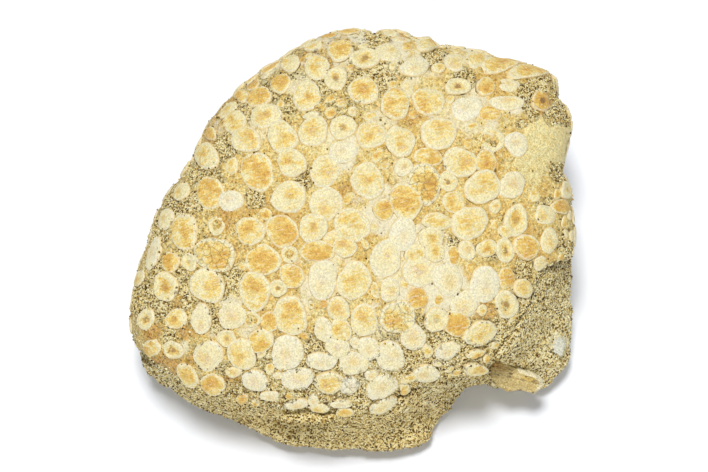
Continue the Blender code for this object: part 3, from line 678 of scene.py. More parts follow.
def makeCrustMaterial():
    material, place = startMaterial("crustBetweenTeeth")
    sandy, ochre, pale, chalk = (place.painted(name) for name in patches)
    blotch = place.noise(1.9, 4.0, 0.65, 2.0)
    fine = place.noise(0.5, 4.0, 0.72, 5.0)
    grit = place.noise(0.2, 2.0, 0.6, 9.0)
    dots = place.cells(4.4, 2) - 0.5
    grains = sandColour(place)
    warm = (ochre * 0.5 + blotch * 2.2 + fine * 1.9 + dots * 0.8 + 0.62).step(0.1, 0.9)
    deep = (ochre * 0.5 + fine * 2.4 + blotch * 1.6 + 0.26).step(0.2, 0.8)
    rusty = (grit * 3.0 + blotch * 2.4 + ochre * 0.5).step(0.5, 1.05)
    bleach = (pale + blotch * 1.4 + fine * 1.1).step(0.2, 0.9)
    ground = layered(crust, crust["cream"], (warm, "ochre"), (deep * 0.85, "deep"), (rusty * 0.6, "rust"),
                     (bleach * 0.9, "pale"))
    light = grainLight(place, 0.66, 1.18)
    ground = ground.scaled(light + (1.0 - light) * bleach * 0.6)
    specks = place.cells(3.6, 1).step(0.84, 0.9) * (1 - bleach * 0.8)
    ground = (specks * 0.55).mix(ground, crust["speck"])
    sandMask = (sandy + 0.13 * (1 - pale) + fine * 1.4 + grit * 0.9).step(0.4, 0.55)
    speckled = sandMask * 0.95 + (1 - sandMask) * (1 - bleach * 0.7) * 0.23
    chalky = place.noise(0.9, 3.0, 0.7, 21.0).step(-0.2, 0.2).mix(*crust["chalk"])
    chalky = chalky.scaled(grainLight(place, 0.7, 1.14))
    chalky = (0.14 + grit.step(0.05, 0.2) * 0.3).mix(chalky, grains)
    bare = (chalk * 1.3 - sandy * 0.7 + fine * 1.2).step(0.35, 0.75)
    colour = bare.mix(speckled.mix(ground, grains), chalky)
    height = fine * 0.14 + grit * 0.08 + sandHeight(place) * (sandMask + chalk * 0.9)
    return finishMaterial(material, colour, sandMask * 0.2 + crust["roughness"], 0.3, height)


def makeCrust():
    piece = crustSheet()
    co = points(piece)
    theta, distance = bearing(co[:, 0], co[:, 1])
    radius, _ = section(theta, rhoAt(theta, distance))
    u, v = arm(theta, radius)
    torn = noiseAt(co, 2.3, 8.0) + 0.4 * noiseAt(co, 1.1, 3.0)
    atMargin = softStep(2.4, 0.2, marginDistance(theta) - distance) * (1 - wrapShare(theta))
    onSkirt = softStep(-3.5, 1.5, distance - rimDistance(theta))
    onSkirt = onSkirt * (1 - 0.7 * softStep(6.0, 20.0, v)) * (1 - 0.8 * softStep(-8.0, -12.0, v))
    spread = np.maximum(np.maximum(onSkirt, atMargin), sandSpread(u, v)) * 0.9
    layers = {name: blobs(u, v, rows, torn) for name, rows in patches.items()}
    sandy = np.maximum(layers["sandy"], spread)
    layers["sandy"] = sandy = np.clip(sandy + (0.8 - 0.3 * sandy) * torn * sandy, 0, 1)
    height = sum(depth * noiseAt(co, size, seed) for size, depth, seed in crust["relief"])
    co[:, 2] = height - crust["sandSink"] * softStep(0.3, 0.8, sandy)
    setPoints(piece, sheetToFrame(co))
    paint(piece, **layers)
    applyModifier(piece, "SOLIDIFY", thickness=face["crust"] * mm, offset=-1.0)
    finishPiece(piece, makeCrustMaterial())
    return piece


plateCrust = makeCrust()


# the teeth on the face: centre u, centre v, width, height, look, and a turn in degrees for some
toothRows = (
    (-12.6, 20.8, 4.3, 2.7, "o", 25), (-15.3, 21.2, 2.4, 1.8, "O"), (-9.4, 22.8, 3.2, 2.8, "o"),
    (-11.5, 18.1, 4.7, 3.8, "c"), (-16.1, 17.2, 3.8, 3.5, "b"), (-14.4, 14.6, 4.3, 4.1, "c"),
    (-9.1, 15.0, 4.6, 4.9, "c"), (-5.5, 21.0, 4.6, 4.3, "c"), (-8.0, 25.8, 2.8, 2.5, "c"),
    (-10.9, 25.3, 3.8, 1.3, "O", 25), (-17.1, 19.0, 3.2, 1.5, "c", 40), (-19.7, 15.6, 1.8, 1.8, "O"),
    (-1.3, 23.5, 3.2, 3.7, "r"), (-4.1, 25.2, 4.1, 3.5, "b"), (-0.7, 27.7, 3.7, 3.5, "o"),
    (-4.6, 28.4, 2.7, 1.5, "c"), (-2.4, 30.0, 2.9, 1.3, "O"), (0.6, 30.6, 3.2, 1.2, "O"),
    (2.9, 26.5, 4.4, 3.1, "r"), (2.7, 21.7, 4.3, 4.4, "o"), (7.3, 19.8, 4.6, 4.6, "o"),
    (12.2, 28.9, 3.5, 2.1, "b"), (6.3, 27.5, 3.8, 2.9, "f"), (10.2, 25.3, 4.4, 2.9, "w"),
    (16.2, 26.2, 3.5, 2.9, "f"), (12.2, 20.2, 4.7, 4.4, "g"), (16.5, 22.4, 3.7, 2.7, "r"),
    (13.6, 15.5, 5.9, 4.6, "c"), (3.8, 15.3, 4.3, 4.4, "c"), (8.0, 14.3, 4.3, 4.9, "c"),
    (-0.3, 16.4, 3.8, 3.8, "r"), (-4.6, 15.8, 4.6, 4.4, "c"), (-4.9, 18.1, 2.4, 1.2, "w", 15),
    (17.7, 19.1, 4.7, 3.8, "w"), (19.4, 26.8, 2.8, 3.2, "g"), (22.7, 25.9, 4.6, 2.9, "o"),
    (27.3, 25.0, 5.3, 2.7, "o"), (24.0, 22.7, 3.2, 2.1, "f"), (20.5, 22.4, 2.9, 2.7, "O"),
    (21.4, 14.6, 4.1, 3.5, "r"), (23.6, 20.0, 5.0, 2.4, "w"), (20.9, 18.4, 3.5, 2.4, "O"),
    (25.0, 14.0, 3.5, 3.8, "w"), (9.1, 22.1, 2.1, 2.7, "f"), (-20.5, 12.4, 3.8, 3.7, "b"),
    (-16.4, 10.8, 1.9, 2.5, "c"), (-12.7, 9.9, 5.2, 5.7, "o"), (-7.7, 11.2, 4.6, 4.1, "b"),
    (-19.7, 6.9, 4.0, 5.3, "O"), (-16.6, 5.7, 3.7, 3.4, "w"), (-24.0, 7.2, 2.1, 2.9, "c"),
    (-8.1, 6.2, 5.5, 4.6, "c"), (-23.4, 1.2, 4.3, 5.2, "o"), (-18.7, 2.1, 2.7, 2.7, "s"),
    (-13.7, 1.3, 4.1, 4.6, "b"), (-9.1, 1.3, 5.0, 5.0, "O"), (-26.4, 3.1, 2.4, 3.2, "f"),
    (-8.0, -2.1, 2.4, 2.8, "r"), (-18.9, -2.1, 6.2, 5.3, "k"), (-11.9, -2.9, 5.0, 5.0, "o"),
    (-28.1, -1.9, 2.1, 4.7, "w", -8), (-25.5, -3.2, 2.9, 2.9, "O"), (-22.7, -3.2, 2.4, 2.7, "s"),
    (-20.0, -6.6, 5.2, 5.3, "c"), (-26.2, -6.8, 3.8, 4.3, "R"), (-30.2, -5.6, 1.8, 2.4, "c"),
    (-2.9, 10.0, 4.7, 4.7, "f"), (3.3, 8.6, 5.2, 5.3, "c"), (-0.3, 12.8, 4.7, 3.2, "w"),
    (8.5, 10.6, 2.7, 2.9, "w"), (12.1, 12.1, 4.4, 2.7, "O"), (11.6, 8.2, 5.2, 5.9, "k"),
    (15.0, 8.5, 2.8, 3.1, "r"), (16.8, 11.3, 5.2, 4.6, "c"), (20.0, 7.7, 5.5, 5.0, "c"),
    (8.8, 5.6, 4.9, 5.6, "o"), (-4.6, 1.8, 4.1, 4.6, "c"), (1.0, 2.1, 5.6, 5.0, "c"),
    (-2.8, 5.2, 5.3, 5.0, "f"), (8.4, 0.9, 4.3, 5.0, "w"), (13.4, 2.7, 4.7, 2.5, "c"),
    (15.8, 5.5, 3.5, 3.2, "g"), (18.1, 2.5, 5.5, 5.2, "c"), (12.5, 0.3, 4.1, 3.2, "c"),
    (5.6, 4.4, 2.9, 3.5, "O"), (-1.5, 0.0, 3.8, 2.9, "f"), (20.5, 11.3, 3.5, 3.5, "O"),
    (24.3, 8.0, 4.0, 4.1, "f"), (24.9, 2.8, 3.8, 4.7, "R"), (20.6, -1.2, 3.1, 2.7, "o"),
    (23.3, -1.5, 2.8, 3.8, "r"), (26.5, -1.0, 3.7, 4.1, "O"), (29.3, 3.7, 3.1, 3.2, "f"),
    (29.9, -0.1, 2.9, 3.8, "f"), (31.8, 4.9, 2.7, 2.4, "O"), (23.3, 1.2, 2.4, 1.8, "c"),
    (32.7, 7.4, 2.1, 2.9, "s"), (17.7, -1.5, 2.7, 2.9, "w"), (21.9, 4.9, 1.8, 2.1, "c"),
    (-29.2, -11.6, 2.9, 2.9, "r"), (-24.6, -11.5, 3.5, 2.9, "b"), (-20.9, -11.5, 3.2, 4.3, "w"),
    (-16.4, -11.0, 4.1, 4.4, "f"), (-13.1, -7.4, 5.0, 5.7, "b"), (-13.6, -11.5, 2.5, 2.7, "r"),
    (-9.7, -7.0, 2.5, 2.8, "r"), (-7.7, -5.2, 3.8, 3.8, "O"), (-7.9, -11.0, 5.3, 5.7, "b"),
    (-11.0, -11.9, 2.9, 2.9, "O"), (-12.2, -14.6, 4.1, 3.5, "o"), (-15.0, -16.6, 4.4, 4.7, "c"),
    (-19.9, -16.9, 4.1, 5.0, "w"), (-8.4, -16.4, 4.7, 5.8, "w"), (-17.2, -14.3, 2.8, 2.7, "s"),
    (-28.4, -15.9, 2.7, 2.7, "o"), (-25.1, -16.1, 3.0, 2.8, "r"), (-12.2, -16.6, 1.3, 1.3, "w"),
    (-4.9, -9.4, 1.0, 1.3, "r"), (-3.1, -9.3, 1.2, 1.5, "O"), (-3.2, -5.7, 4.6, 5.9, "w"),
    (-4.0, -1.6, 5.0, 3.5, "O"), (0.0, -1.0, 3.5, 3.2, "c"), (1.3, -5.9, 5.0, 5.9, "c"),
    (5.9, -2.7, 4.9, 5.6, "w"), (4.3, -7.4, 1.3, 2.9, "c"), (6.5, -7.2, 3.2, 3.5, "w"),
    (-0.9, -10.0, 3.5, 3.7, "c"), (2.8, -11.6, 4.4, 4.7, "c"), (7.7, -11.2, 5.2, 5.2, "C"),
    (-3.1, -13.0, 2.9, 3.7, "w"), (-0.6, -13.1, 3.5, 3.5, "c"), (-1.0, -15.6, 3.8, 3.2, "w"),
    (1.5, -14.9, 1.6, 1.8, "w"), (3.4, -15.7, 3.6, 3.4, "w"), (6.6, -16.9, 4.6, 4.5, "w"),
    (9.9, -14.1, 4.1, 3.8, "w"), (10.5, -8.4, 3.5, 3.2, "O"), (13.3, -11.6, 3.5, 3.8, "s"),
    (10.9, -4.6, 5.0, 5.0, "w"), (14.9, -5.7, 4.4, 5.3, "w"), (10.2, -1.9, 3.2, 2.7, "c"),
    (13.0, -1.6, 3.2, 3.2, "c"), (17.4, -9.3, 4.0, 4.3, "w"), (20.3, -6.5, 4.7, 5.5, "w"),
    (23.6, -5.5, 2.4, 3.5, "O"), (23.6, -9.4, 3.5, 4.3, "r"), (26.1, -7.1, 2.9, 2.9, "g"),
    (19.7, -13.6, 4.9, 3.8, "c", 15), (16.2, -12.1, 4.3, 3.7, "O"), (14.9, -16.2, 3.8, 2.8, "w", 20),
    (19.1, -19.0, 3.2, 2.2, "c", 15), (19.0, -16.6, 2.7, 1.3, "b", 20), (15.8, -2.2, 1.8, 2.7, "O"),
    (-23.0, -19.9, 2.7, 4.1, "b", 30), (-19.3, -21.2, 3.5, 3.5, "o"), (-13.1, -20.5, 3.8, 3.5, "w"),
    (-16.2, -19.3, 2.4, 1.8, "f"), (-10.9, -22.8, 3.1, 1.6, "w"), (-6.9, -20.2, 4.8, 3.7, "w"),
    (-9.7, -19.7, 1.6, 1.2, "w"), (-7.1, -24.0, 3.7, 1.5, "w"), (-2.3, -20.8, 4.2, 3.6, "c"),
    (-4.6, -23.4, 1.8, 1.8, "w"), (-3.4, -17.6, 4.6, 2.8, "w"), (1.3, -17.9, 5.0, 3.4, "w"),
    (3.8, -19.7, 2.2, 1.6, "w"), (0.7, -21.2, 2.9, 2.9, "W"), (5.4, -21.4, 5.4, 3.3, "w", 25),
    (11.9, -19.6, 4.0, 2.8, "w", 15), (9.3, -20.2, 2.5, 1.3, "c", 15), (5.6, -24.2, 4.2, 2.1, "w", 20),
    (-0.6, -23.9, 3.5, 1.3, "w"), (0.0, -25.2, 2.9, 1.3, "O"), (-3.7, -24.6, 2.9, 1.5, "c"),
    (-15.0, -23.2, 1.8, 1.6, "O"), (28.7, 20.3, 3.0, 2.8, "B"),
)

# looks: ochre in the middle, width of the pale rim, dark core, bleaching, cracks, faintness
looks = {
    "c": (0.46, 0.19, 0.15, 0.35, 0.0, 0.0),  # cream
    "C": (0.46, 0.19, 0.15, 0.35, 1.0, 0.0),  # cream, cracked
    "w": (0.30, 0.27, 0.12, 0.62, 0.0, 0.1),  # whitish
    "W": (0.24, 0.30, 0.08, 0.70, 1.0, 0.1),
    "b": (0.66, 0.17, 0.15, 0.25, 0.2, 0.0),  # cream and ochre
    "o": (0.88, 0.11, 0.10, 0.10, 0.1, 0.0),  # ochre with a cream rim
    "k": (0.90, 0.14, 0.10, 0.10, 1.0, 0.0),
    "O": (1.10, 0.03, 0.05, 0.00, 0.0, 0.3),  # deep ochre, no rim
    "r": (0.45, 0.40, 0.95, 0.35, 0.0, 0.0),  # pale ring round a dark hollow
    "R": (0.85, 0.34, 0.60, 0.20, 0.0, 0.0),
    "s": (0.30, 0.36, 0.50, 0.30, 0.0, 0.1),  # crater filled with sand
    "f": (0.35, 0.12, 0.10, 0.50, 0.0, 0.8),  # faint under a bleached skin
    "g": (0.70, 0.12, 0.10, 0.30, 0.0, 0.7),
    "B": (1.30, 0.00, 1.60, 0.00, 0.6, 0.8),  # brown and worn
}

tooth = {
    "sides": 28,
    "domed": ((0.035, 0.15), (0.055, 0.085), (0.10, 0.07), (0.15, 0.045), (0.20, 0.025), (0.20, 0.01)),
    "hollow": ((0.05, 0.17), (0.09, 0.09), (0.12, 0.01), (0.14, -0.09), (0.16, -0.10), (0.18, -0.04)),
    "hollowLooks": "rRs",
    "sunk": 0.32,  # how deep the foot goes into the crust
    "inRim": 0.35,  # how far inside the dome's rim a middle stays
    "mostStretch": 2.1,  # on the steep edge of the dome
    "overlap": 0.93,  # share of their reach at which two teeth just meet
    "hiddenTries": 1400,
    "hiddenRadii": (1.35, 2.1),
    "hiddenLooks": "cbowbOrR",
    "gapTries": 5000,
    "gapRadii": (0.6, 1.35),
    "gapStretch": (0.75, 1.3),
    "gapLooks": "ffffgggggbcO",
    "height": (0.45, 3.5),  # share of the height that the smallest has, and how slowly it grows with size
    "bumps": (1.3, 0.05),  # size and depth
    "tilt": 0.035,  # lean of a tooth's top, as rise over run
    "stagger": 0.10,  # some stand a little higher than others
    "faintSunk": 0.16,
    "ragged": 0.02,
    "wobble": 0.075,  # roundness error
    "bareSpots": ((29.5, 17.5, 5.0, 1.0), (29.0, 12.0, 5.0, 1.0), (-3.0, 12.6, 2.0, 1.0)),
    "warmAside": 0.42,  # how far the warm patch sits from the middle
    "warmSize": (0.34, 0.62),
    "varied": (0.85, 1.15),  # how much each tooth's look differs
}


def faceTooth(u, v, width, height, look, turn=0):  # centre and half-axes on the rolled-out dome
    theta, r = math.atan2(v, u), math.hypot(u, v)
    r = min(r, float(rimRadius(theta)) - tooth["inRim"])
    distance = distanceAt(theta, r)
    stretchOut = min((distanceAt(theta, r + 0.2) - distance) / 0.2, tooth["mostStretch"])
    stretchRound = distance / max(r, 0.5)
    outward, sideways = arm(theta, 1.0), arm(theta + math.pi / 2, 1.0)
    axes = []
    for half, angle in ((width / 2, math.radians(turn)), (height / 2, math.radians(turn + 90))):
        axis = arm(angle, half)
        axes.append(outward * (axis @ outward) * stretchOut + sideways * (axis @ sideways) * stretchRound)
    return {"centre": outward * distance, "axes": np.array(axes), "look": look}


def addIfFree(one, layout):  # teeth may just meet
    for other in layout:
        apart = other["centre"] - one["centre"]
        length = float(np.hypot(*apart))
        direction = apart / max(length, 1e-6)
        reach = sum(float(np.hypot(*(either["axes"] @ direction))) for either in (one, other))
        if length <= tooth["overlap"] * reach:
            return
    layout.append(one)


def addHiddenTeeth(layout):  # on the wrapped edge that the face doesn't show
    draw = random.Random(11)
    for _ in range(tooth["hiddenTries"]):
        theta = draw.uniform(-math.pi, math.pi)
        size = draw.uniform(*tooth["hiddenRadii"])
        share = draw.uniform(0.0, 1.0)
        last = marginDistance(theta) - size - 0.2
        first = rimDistance(theta) - 0.5
        if wrapShare(theta) >= 0.9 and last >= first:
            look = tooth["hiddenLooks"][int(share * 7.99)]
            addIfFree({"centre": arm(theta, first + share * (last - first)), "axes": np.eye(2) * size,
                       "look": look}, layout)


def addGapTeeth(layout):  # small worn ones in the gaps of the face
    draw = random.Random(17)
    for _ in range(tooth["gapTries"]):
        theta, share = draw.uniform(-math.pi, math.pi), math.sqrt(draw.random())
        size, stretch = draw.uniform(*tooth["gapRadii"]), draw.uniform(*tooth["gapStretch"])
        look = draw.choice(tooth["gapLooks"])
        distance = share * rimDistance(theta)
        if distance > marginDistance(theta) - size - 0.4:
            continue
        radius, _ = section(theta, rhoAt(theta, distance))
        u, v = arm(theta, np.array([radius]))
        bare = max(blobs(u, v, patches["sandy"], 0.0)[0], 2 * blobs(u, v, tooth["bareSpots"], 0.0)[0],
                   1.2 * softStep(-9.0, -20.0, u[0]))
        if bare > 0.25 + 0.6 * draw.random():
            continue
        turn = draw.uniform(0, math.pi)
        axes = np.array((arm(turn, size * stretch), arm(turn + math.pi / 2, size / stretch)))
        addIfFree({"centre": arm(theta, distance), "axes": axes, "look": look}, layout)


def masterTooth(rings):  # one tooth of unit radius, foot at the crust
    sunk = tooth["sunk"]
    piece = fresh(bpy.ops.mesh.primitive_cylinder_add, vertices=tooth["sides"], radius=1.0, depth=sunk,
                  location=(0, 0, -sunk / 2))
    bpy.ops.object.transform_apply(location=True, rotation=True, scale=True)
    setMode("EDIT")
    bpy.ops.mesh.select_mode(type="FACE")
    bpy.ops.mesh.select_all(action="DESELECT")
    setMode("OBJECT")
    for side in piece.data.polygons:
        side.select = side.normal.z > 0.9
    setMode("EDIT")
    for inward, rise in rings:
        bpy.ops.mesh.inset(thickness=inward, depth=rise)
    bpy.ops.mesh.poke()
    setMode("OBJECT")
    return piece


def growTooth(master, one, draw):  # a copy, grown to its own outline on the sheet
    piece = linked("tooth", master.data.copy())
    co = points(piece)
    phi, t = bearing(co[:, 0], co[:, 1])
    *shares, faint = looks[one["look"]]
    swing = [draw.uniform(0, 2 * math.pi) for _ in range(3)]
    wobble = sum(tooth["wobble"] / (k + 1) * np.sin((k + 2) * phi + angle) for k, angle in enumerate(swing))
    jags = np.sin(7 * phi + swing[0] * 3) + np.sin(11 * phi + swing[1] * 5) * 0.8
    wobble = wobble + tooth["ragged"] * softStep(0.5, 1.0, t) * jags
    offset = (arm(phi, 1.0).T @ one["axes"]) * (t * (1 + wobble))[:, None]
    lean = [draw.uniform(-1, 1) * tooth["tilt"] for _ in range(2)]
    size = math.sqrt(abs(np.linalg.det(one["axes"])))
    low = draw.uniform(-0.5, 1.0) * tooth["stagger"] - tooth["faintSunk"] * faint
    least, grown = tooth["height"]
    height = co[:, 2] * min(1.0, least + size / grown) + low + offset @ np.array(lean)
    sheet = np.column_stack((one["centre"] + offset, height))
    bump, depth = tooth["bumps"]
    sheet[:, 2] += depth * noiseAt(sheet, bump, 2.0) * (t < 0.97)
    placed = sheetToFrame(sheet)
    setPoints(piece, placed)
    aside, way = draw.uniform(0.0, tooth["warmAside"]), draw.uniform(0, 2 * math.pi)
    away = np.hypot(*(arm(phi, t) - arm(way, aside)[:, None]))
    paint(piece, warmth=np.exp(-(away / draw.uniform(*tooth["warmSize"])) ** 2), across=t,
          buried=sandSpread(*toFace(placed)[:2]), chance=np.full(len(co), draw.random()))
    for name, value in zip(("ochre", "rimWidth", "core", "bleach", "cracks"), shares):
        paint(piece, **{name: np.full(len(co), value * draw.uniform(*tooth["varied"]))})
    return piece


enamel = {
    "cream": srgb(239, 225, 170),
    "pale": srgb(241, 237, 214),
    "yellow": srgb(240, 210, 118),
    "ochre": srgb(227, 182, 82),
    "rust": srgb(204, 138, 52),
    # painted light: a warm cream on each tooth's steep foot, brightening the shade on its sloping sides and
    # blending it into the crust
    "core": srgb(150, 112, 62),
    # painted shadow: a dark line for the shade in the gap under some teeth's edges
    "litToothSide": srgb(248, 214, 130),
    "gap": srgb(84, 62, 28),
    "roughness": 0.625,
}


def makeEnamelMaterial():
    material, place = startMaterial("toothEnamel")
    across, warmth, ochre, rimWidth, core, bleach, cracks, chance, buried = (
        place.painted(name) for name in
        ("across", "warmth", "ochre", "rimWidth", "core", "bleach", "cracks", "chance", "buried"))
    own = place.shifted(chance * 40, chance * 17)  # each tooth's own piece of the pattern
    blotch = own.noise(1.6, 3.0, 0.62)
    mottle = own.stretched((2.2, 1.0)).noise(0.55, 5.0, 0.72, 3.0)
    fleck = own.noise(0.2, 2.0, 0.6, 8.0)
    scores = own.stretched((7.0, 0.7), (0.0, 0.0, 0.25)).noise(0.3, 2.0, 0.6, 14.0)
    dots = own.cells(4.6) - 0.5
    inside = (1 - rimWidth - across + blotch * 1.1 + mottle * 0.6).step(-0.14, 0.26)
    patchy = (warmth - 0.45) * 0.75 + blotch * 2.4 + mottle * 2.0 + dots * 0.35
    warm = inside * (ochre * 0.85 + patchy) + (1 - inside) * (dots * 0.4 + mottle * 0.8)
    rusty = (inside * (fleck * 1.6 + mottle * 2.0) + warm * 0.45).step(0.4, 1.05)
    # a paler line round each tooth's edge: partly the enamel's own pale rim, partly a painted highlight
    # where the rim catches light
    lit = (across + mottle * 0.2).step(0.8, 0.9)
    whiten = (bleach + blotch * 1.2 + mottle * 0.8 - ochre * 0.25).step(0.25, 0.95)
    dark = core * (0.36 - across + mottle * 0.5).step(0.0, 0.22)
    specks = fleck.step(0.1, 0.24) * (0.35 + warm * 0.3)
    colour = layered(enamel, enamel["cream"],
                     (warm.step(0.05, 0.5), "yellow"), (warm.step(0.4, 1.0), "ochre"),
                     (rusty * 0.65, "rust"), (scores.step(0.08, 0.16) * 0.45, "pale"),
                     (scores.step(-0.1, -0.18) * inside * 0.3, "rust"), (lit * 0.5, "pale"),
                     (whiten * 0.8, "pale"), (dark * 0.75, "core"), (specks, "core"),
                     # painted highlight: small pale glints scattered over the enamel
                     (fleck.step(-0.1, -0.24) * 0.5, "pale"))
    bent = own.shifted(mottle * 1.6 + 0.8, blotch * 1.6 + 0.8)
    lines = bent.node("TexVoronoi", {"feature": "DISTANCE_TO_EDGE"}, {"Vector": bent, "Scale": 0.8})
    crack = (cracks * (1 - lines.step(0.0, 0.045))).step(0.3, 0.9)
    # painted shadow at the foot of some teeth, where shade falls in the gap under the edge
    gap = across.step(0.965, 0.995) * place.noise(2.2, 2.0, 0.6, 27.0).step(0.04, 0.16)
    # each tooth's steep foot takes the painted light colour
    colour = layered(enamel, colour.scaled(grainLight(own, 0.81, 1.13)), (crack * 0.3, "core"),
                     (across.step(0.9, 0.98) * 0.55, "litToothSide"), (gap * 0.85, "gap"))
    strewn = buried * 0.55 + (across - 0.8) * 0.8 + place.noise(1.3, 5.0, 0.75, 33.0) * 3.2
    strewn = (strewn - 0.6).step(0.0, 0.12)
    colour = (strewn * 0.85).mix(colour, sandColour(place))
    height = mottle * 0.08 + fleck * 0.05 - crack * 0.05 + blotch * 0.05 + strewn * sandHeight(place)
    return finishMaterial(material, colour, mottle * 0.25 + enamel["roughness"], 0.4, height)


def growTeeth():
    masters = {kind: masterTooth(tooth[kind]) for kind in ("domed", "hollow")}
    layout = [faceTooth(*row) for row in toothRows]
    addHiddenTeeth(layout)
    addGapTeeth(layout)
    draw = random.Random(5)
    grown = [growTooth(masters["hollow" if one["look"] in tooth["hollowLooks"] else "domed"], one, draw)
             for one in layout]
    for master in masters.values():
        bpy.data.objects.remove(master, do_unlink=True)
    only(grown[0])
    for piece in grown:
        piece.select_set(True)
    bpy.ops.object.join()
    joined = bpy.context.object
    joined.name = joined.data.name = "crushingTeeth"
    finishPiece(joined, makeEnamelMaterial())
    return joined


crushingTeeth = growTeeth()


splinter = {
    "voxel": 0.1,
    "clouds": {"fibres": (0.45, 0.14), "pits": (0.9, 0.26)},
    "middle": (25.2, -20.3),  # u, v
    "turn": -20.0,  # degrees, along the fibres
    "light": srgb(230, 208, 144),
    "mid": srgb(194, 164, 94),
    "dark": srgb(124, 92, 40),
    "brown": srgb(204, 160, 88),
    "pit": srgb(74, 50, 20),
    "pale": srgb(248, 236, 192),
    "yellow": srgb(236, 196, 92),
    "along": 9.0,  # stretch of the grain along the splinter
    "roughness": 0.7,
}


def alongSplinter(u, v):  # millimetres along and across it, on the face plane
    turn = math.radians(splinter["turn"])
    du, dv = u - splinter["middle"][0], v - splinter["middle"][1]
    return du * math.cos(turn) + dv * math.sin(turn), dv * math.cos(turn) - du * math.sin(turn)


def makeBoneMaterial():
    material, place = startMaterial("fossilBone")
    edge, brown, yellow = (place.painted(name) for name in ("edge", "brown", "yellow"))
    turn = math.radians(splinter["turn"])
    turned = place.stretched((splinter["along"], 1.0), (0.2, 0.15, turn))
    fibre = turned.noise(0.3, 3.0, 0.65)
    streak = turned.noise(0.8, 2.0, 0.5, 6.0)
    grit = place.noise(0.28, 3.0, 0.7)
    patch = place.noise(1.1, 2.0, 0.6, 13.0)
    pits = place.stretched((2.2, 1.0), (0.0, 0.0, turn)).cells(3.2).step(0.85, 0.9)
    pits = pits * streak.step(-0.12, 0.08)
    colour = layered(splinter, splinter["mid"],
                     ((fibre + grit * 0.8).step(-0.15, 0.15), "light"),
                     ((brown + patch * 1.6 + grit * 1.4).step(0.2, 1.0), "brown"),
                     ((streak * 2.0 + grit * 2.6 + patch).step(0.45, 0.8), "dark"),
                     ((yellow + fibre * 1.2 + grit).step(0.3, 0.9) * 0.75, "yellow"),
                     (pits * 0.75, "pit"),
                     ((edge + fibre * 1.6 + grit * 0.6).step(0.4, 0.75), "pale"))
    colour = colour.scaled(grainLight(place, 0.72, 1.16))
    return finishMaterial(material, colour, splinter["roughness"], height=fibre * 0.22 + grit * 0.14)


def makeSplinter():
    piece = copyOfNode("bone_fragment", "boneSplinter", splinter["voxel"])
    applyModifier(piece, "SMOOTH", factor=0.5, iterations=3)
    u, v, w = toFace(points(piece))
    along, across = alongSplinter(u, v)
    lower = softStep(0.9, -0.7, across) * (0.1 + 1.3 * softStep(1.5, -0.9, along))
    setPoints(piece, toFrame(u, v - lower, w - 0.2 * lower))
    roughen(piece, splinter["clouds"])
    along, across = alongSplinter(*toFace(points(piece))[:2])
    edge = softStep(0.55, 1.1, across) * softStep(-0.6, 0.6, along) + softStep(2.9, 3.9, along) * 0.7
    paint(piece, edge=edge, brown=0.75 * softStep(0.5, -3.0, along) * softStep(-1.8, 0.8, across),
          yellow=np.exp(-((along - 1.9) / 1.1) ** 2 - ((across - 0.35) / 0.4) ** 2))
    finishPiece(piece, makeBoneMaterial())
    return piece


boneSplinter = makeSplinter()


grains = {
    "onLump": 40000,
    "onPlate": 38000,
    "onTeeth": 3600,
    "across": (0.15, 0.34),  # millimetres
    "showing": 0.18,  # of a grain's width, how far its middle stands above the ground
    "rough": 0.22,  # how far corners are knocked about
    "squash": (0.7, 1.15),
    "ray": (0.3, 3.0),  # starts that far under a grain's spot and looks that far out for cover
    "kinds": {"White": (srgb(255, 245, 197), 0.21), "Cream": (srgb(248, 228, 157), 0.21),  # colour, share
              "Straw": (srgb(229, 204, 132), 0.13), "Tan": (srgb(201, 172, 99), 0.13),
              "Ochre": (srgb(210, 173, 86), 0.06), "Brown": (srgb(134, 103, 38), 0.18),
              "Dark": (srgb(84, 59, 17), 0.09)},
    "roughness": 0.75,
}


def surfaceOf(piece):  # points, and the corners of each triangle
    triangles = piece.data.loop_triangles
    piece.data.calc_loop_triangles()
    corners = np.empty(len(triangles) * 3, dtype=np.int32)
    triangles.foreach_get("vertices", corners)
    return points(piece), corners.reshape(-1, 3)


def spotsOn(co, triangles, weights, count, draw):  # random points over a surface, with its normals
    a, b, c = (co[triangles[:, k]] for k in range(3))
    cross = np.cross(b - a, c - a)
    area = np.linalg.norm(cross, axis=1)
    chance = area * weights
    picked = draw.choice(len(triangles), count, p=chance / chance.sum())
    r1, r2 = np.sqrt(draw.random(count))[:, None], draw.random(count)[:, None]
    spots = a[picked] * (1 - r1) + b[picked] * r1 * (1 - r2) + c[picked] * r1 * r2
    return spots, cross[picked] / np.maximum(area[picked], 1e-12)[:, None]


def inTheOpen(spots, normals, cover):  # only those with nothing of the cover over them
    tree = BVHTree.FromObject(cover, bpy.context.evaluated_depsgraph_get())
    under, over = grains["ray"]
    kept = np.array([tree.ray_cast(Vector(spot - normal * under * mm), Vector(normal), over * mm)[0] is None
                     for spot, normal in zip(spots, normals)])
    return spots[kept], normals[kept]


def onOutside(spots, normals):  # only those on the outer side of the pavement, roughly away from its middle
    u, v, _ = toFace(spots)
    out = spots - toFrame(u * 0.6, v * 0.6, np.full(len(u), -6.0))
    out = out / np.linalg.norm(out, axis=1)[:, None]
    kept = np.abs(np.einsum("ij,ij->i", normals, out) - 1) < 0.6
    return spots[kept], normals[kept]


def grainMaster(kind):  # one grain, one unit across
    if kind == "round":
        master = fresh(bpy.ops.mesh.primitive_ico_sphere_add, subdivisions=1, radius=0.5)
    else:
        master = fresh(bpy.ops.mesh.primitive_cube_add, size=0.72)
    setMode("EDIT")
    bpy.ops.mesh.select_all(action="SELECT")
    bpy.ops.mesh.quads_convert_to_tris()
    setMode("OBJECT")
    shape = points(master), np.array([list(side.vertices) for side in master.data.polygons])
    bpy.data.objects.remove(master, do_unlink=True)
    return shape


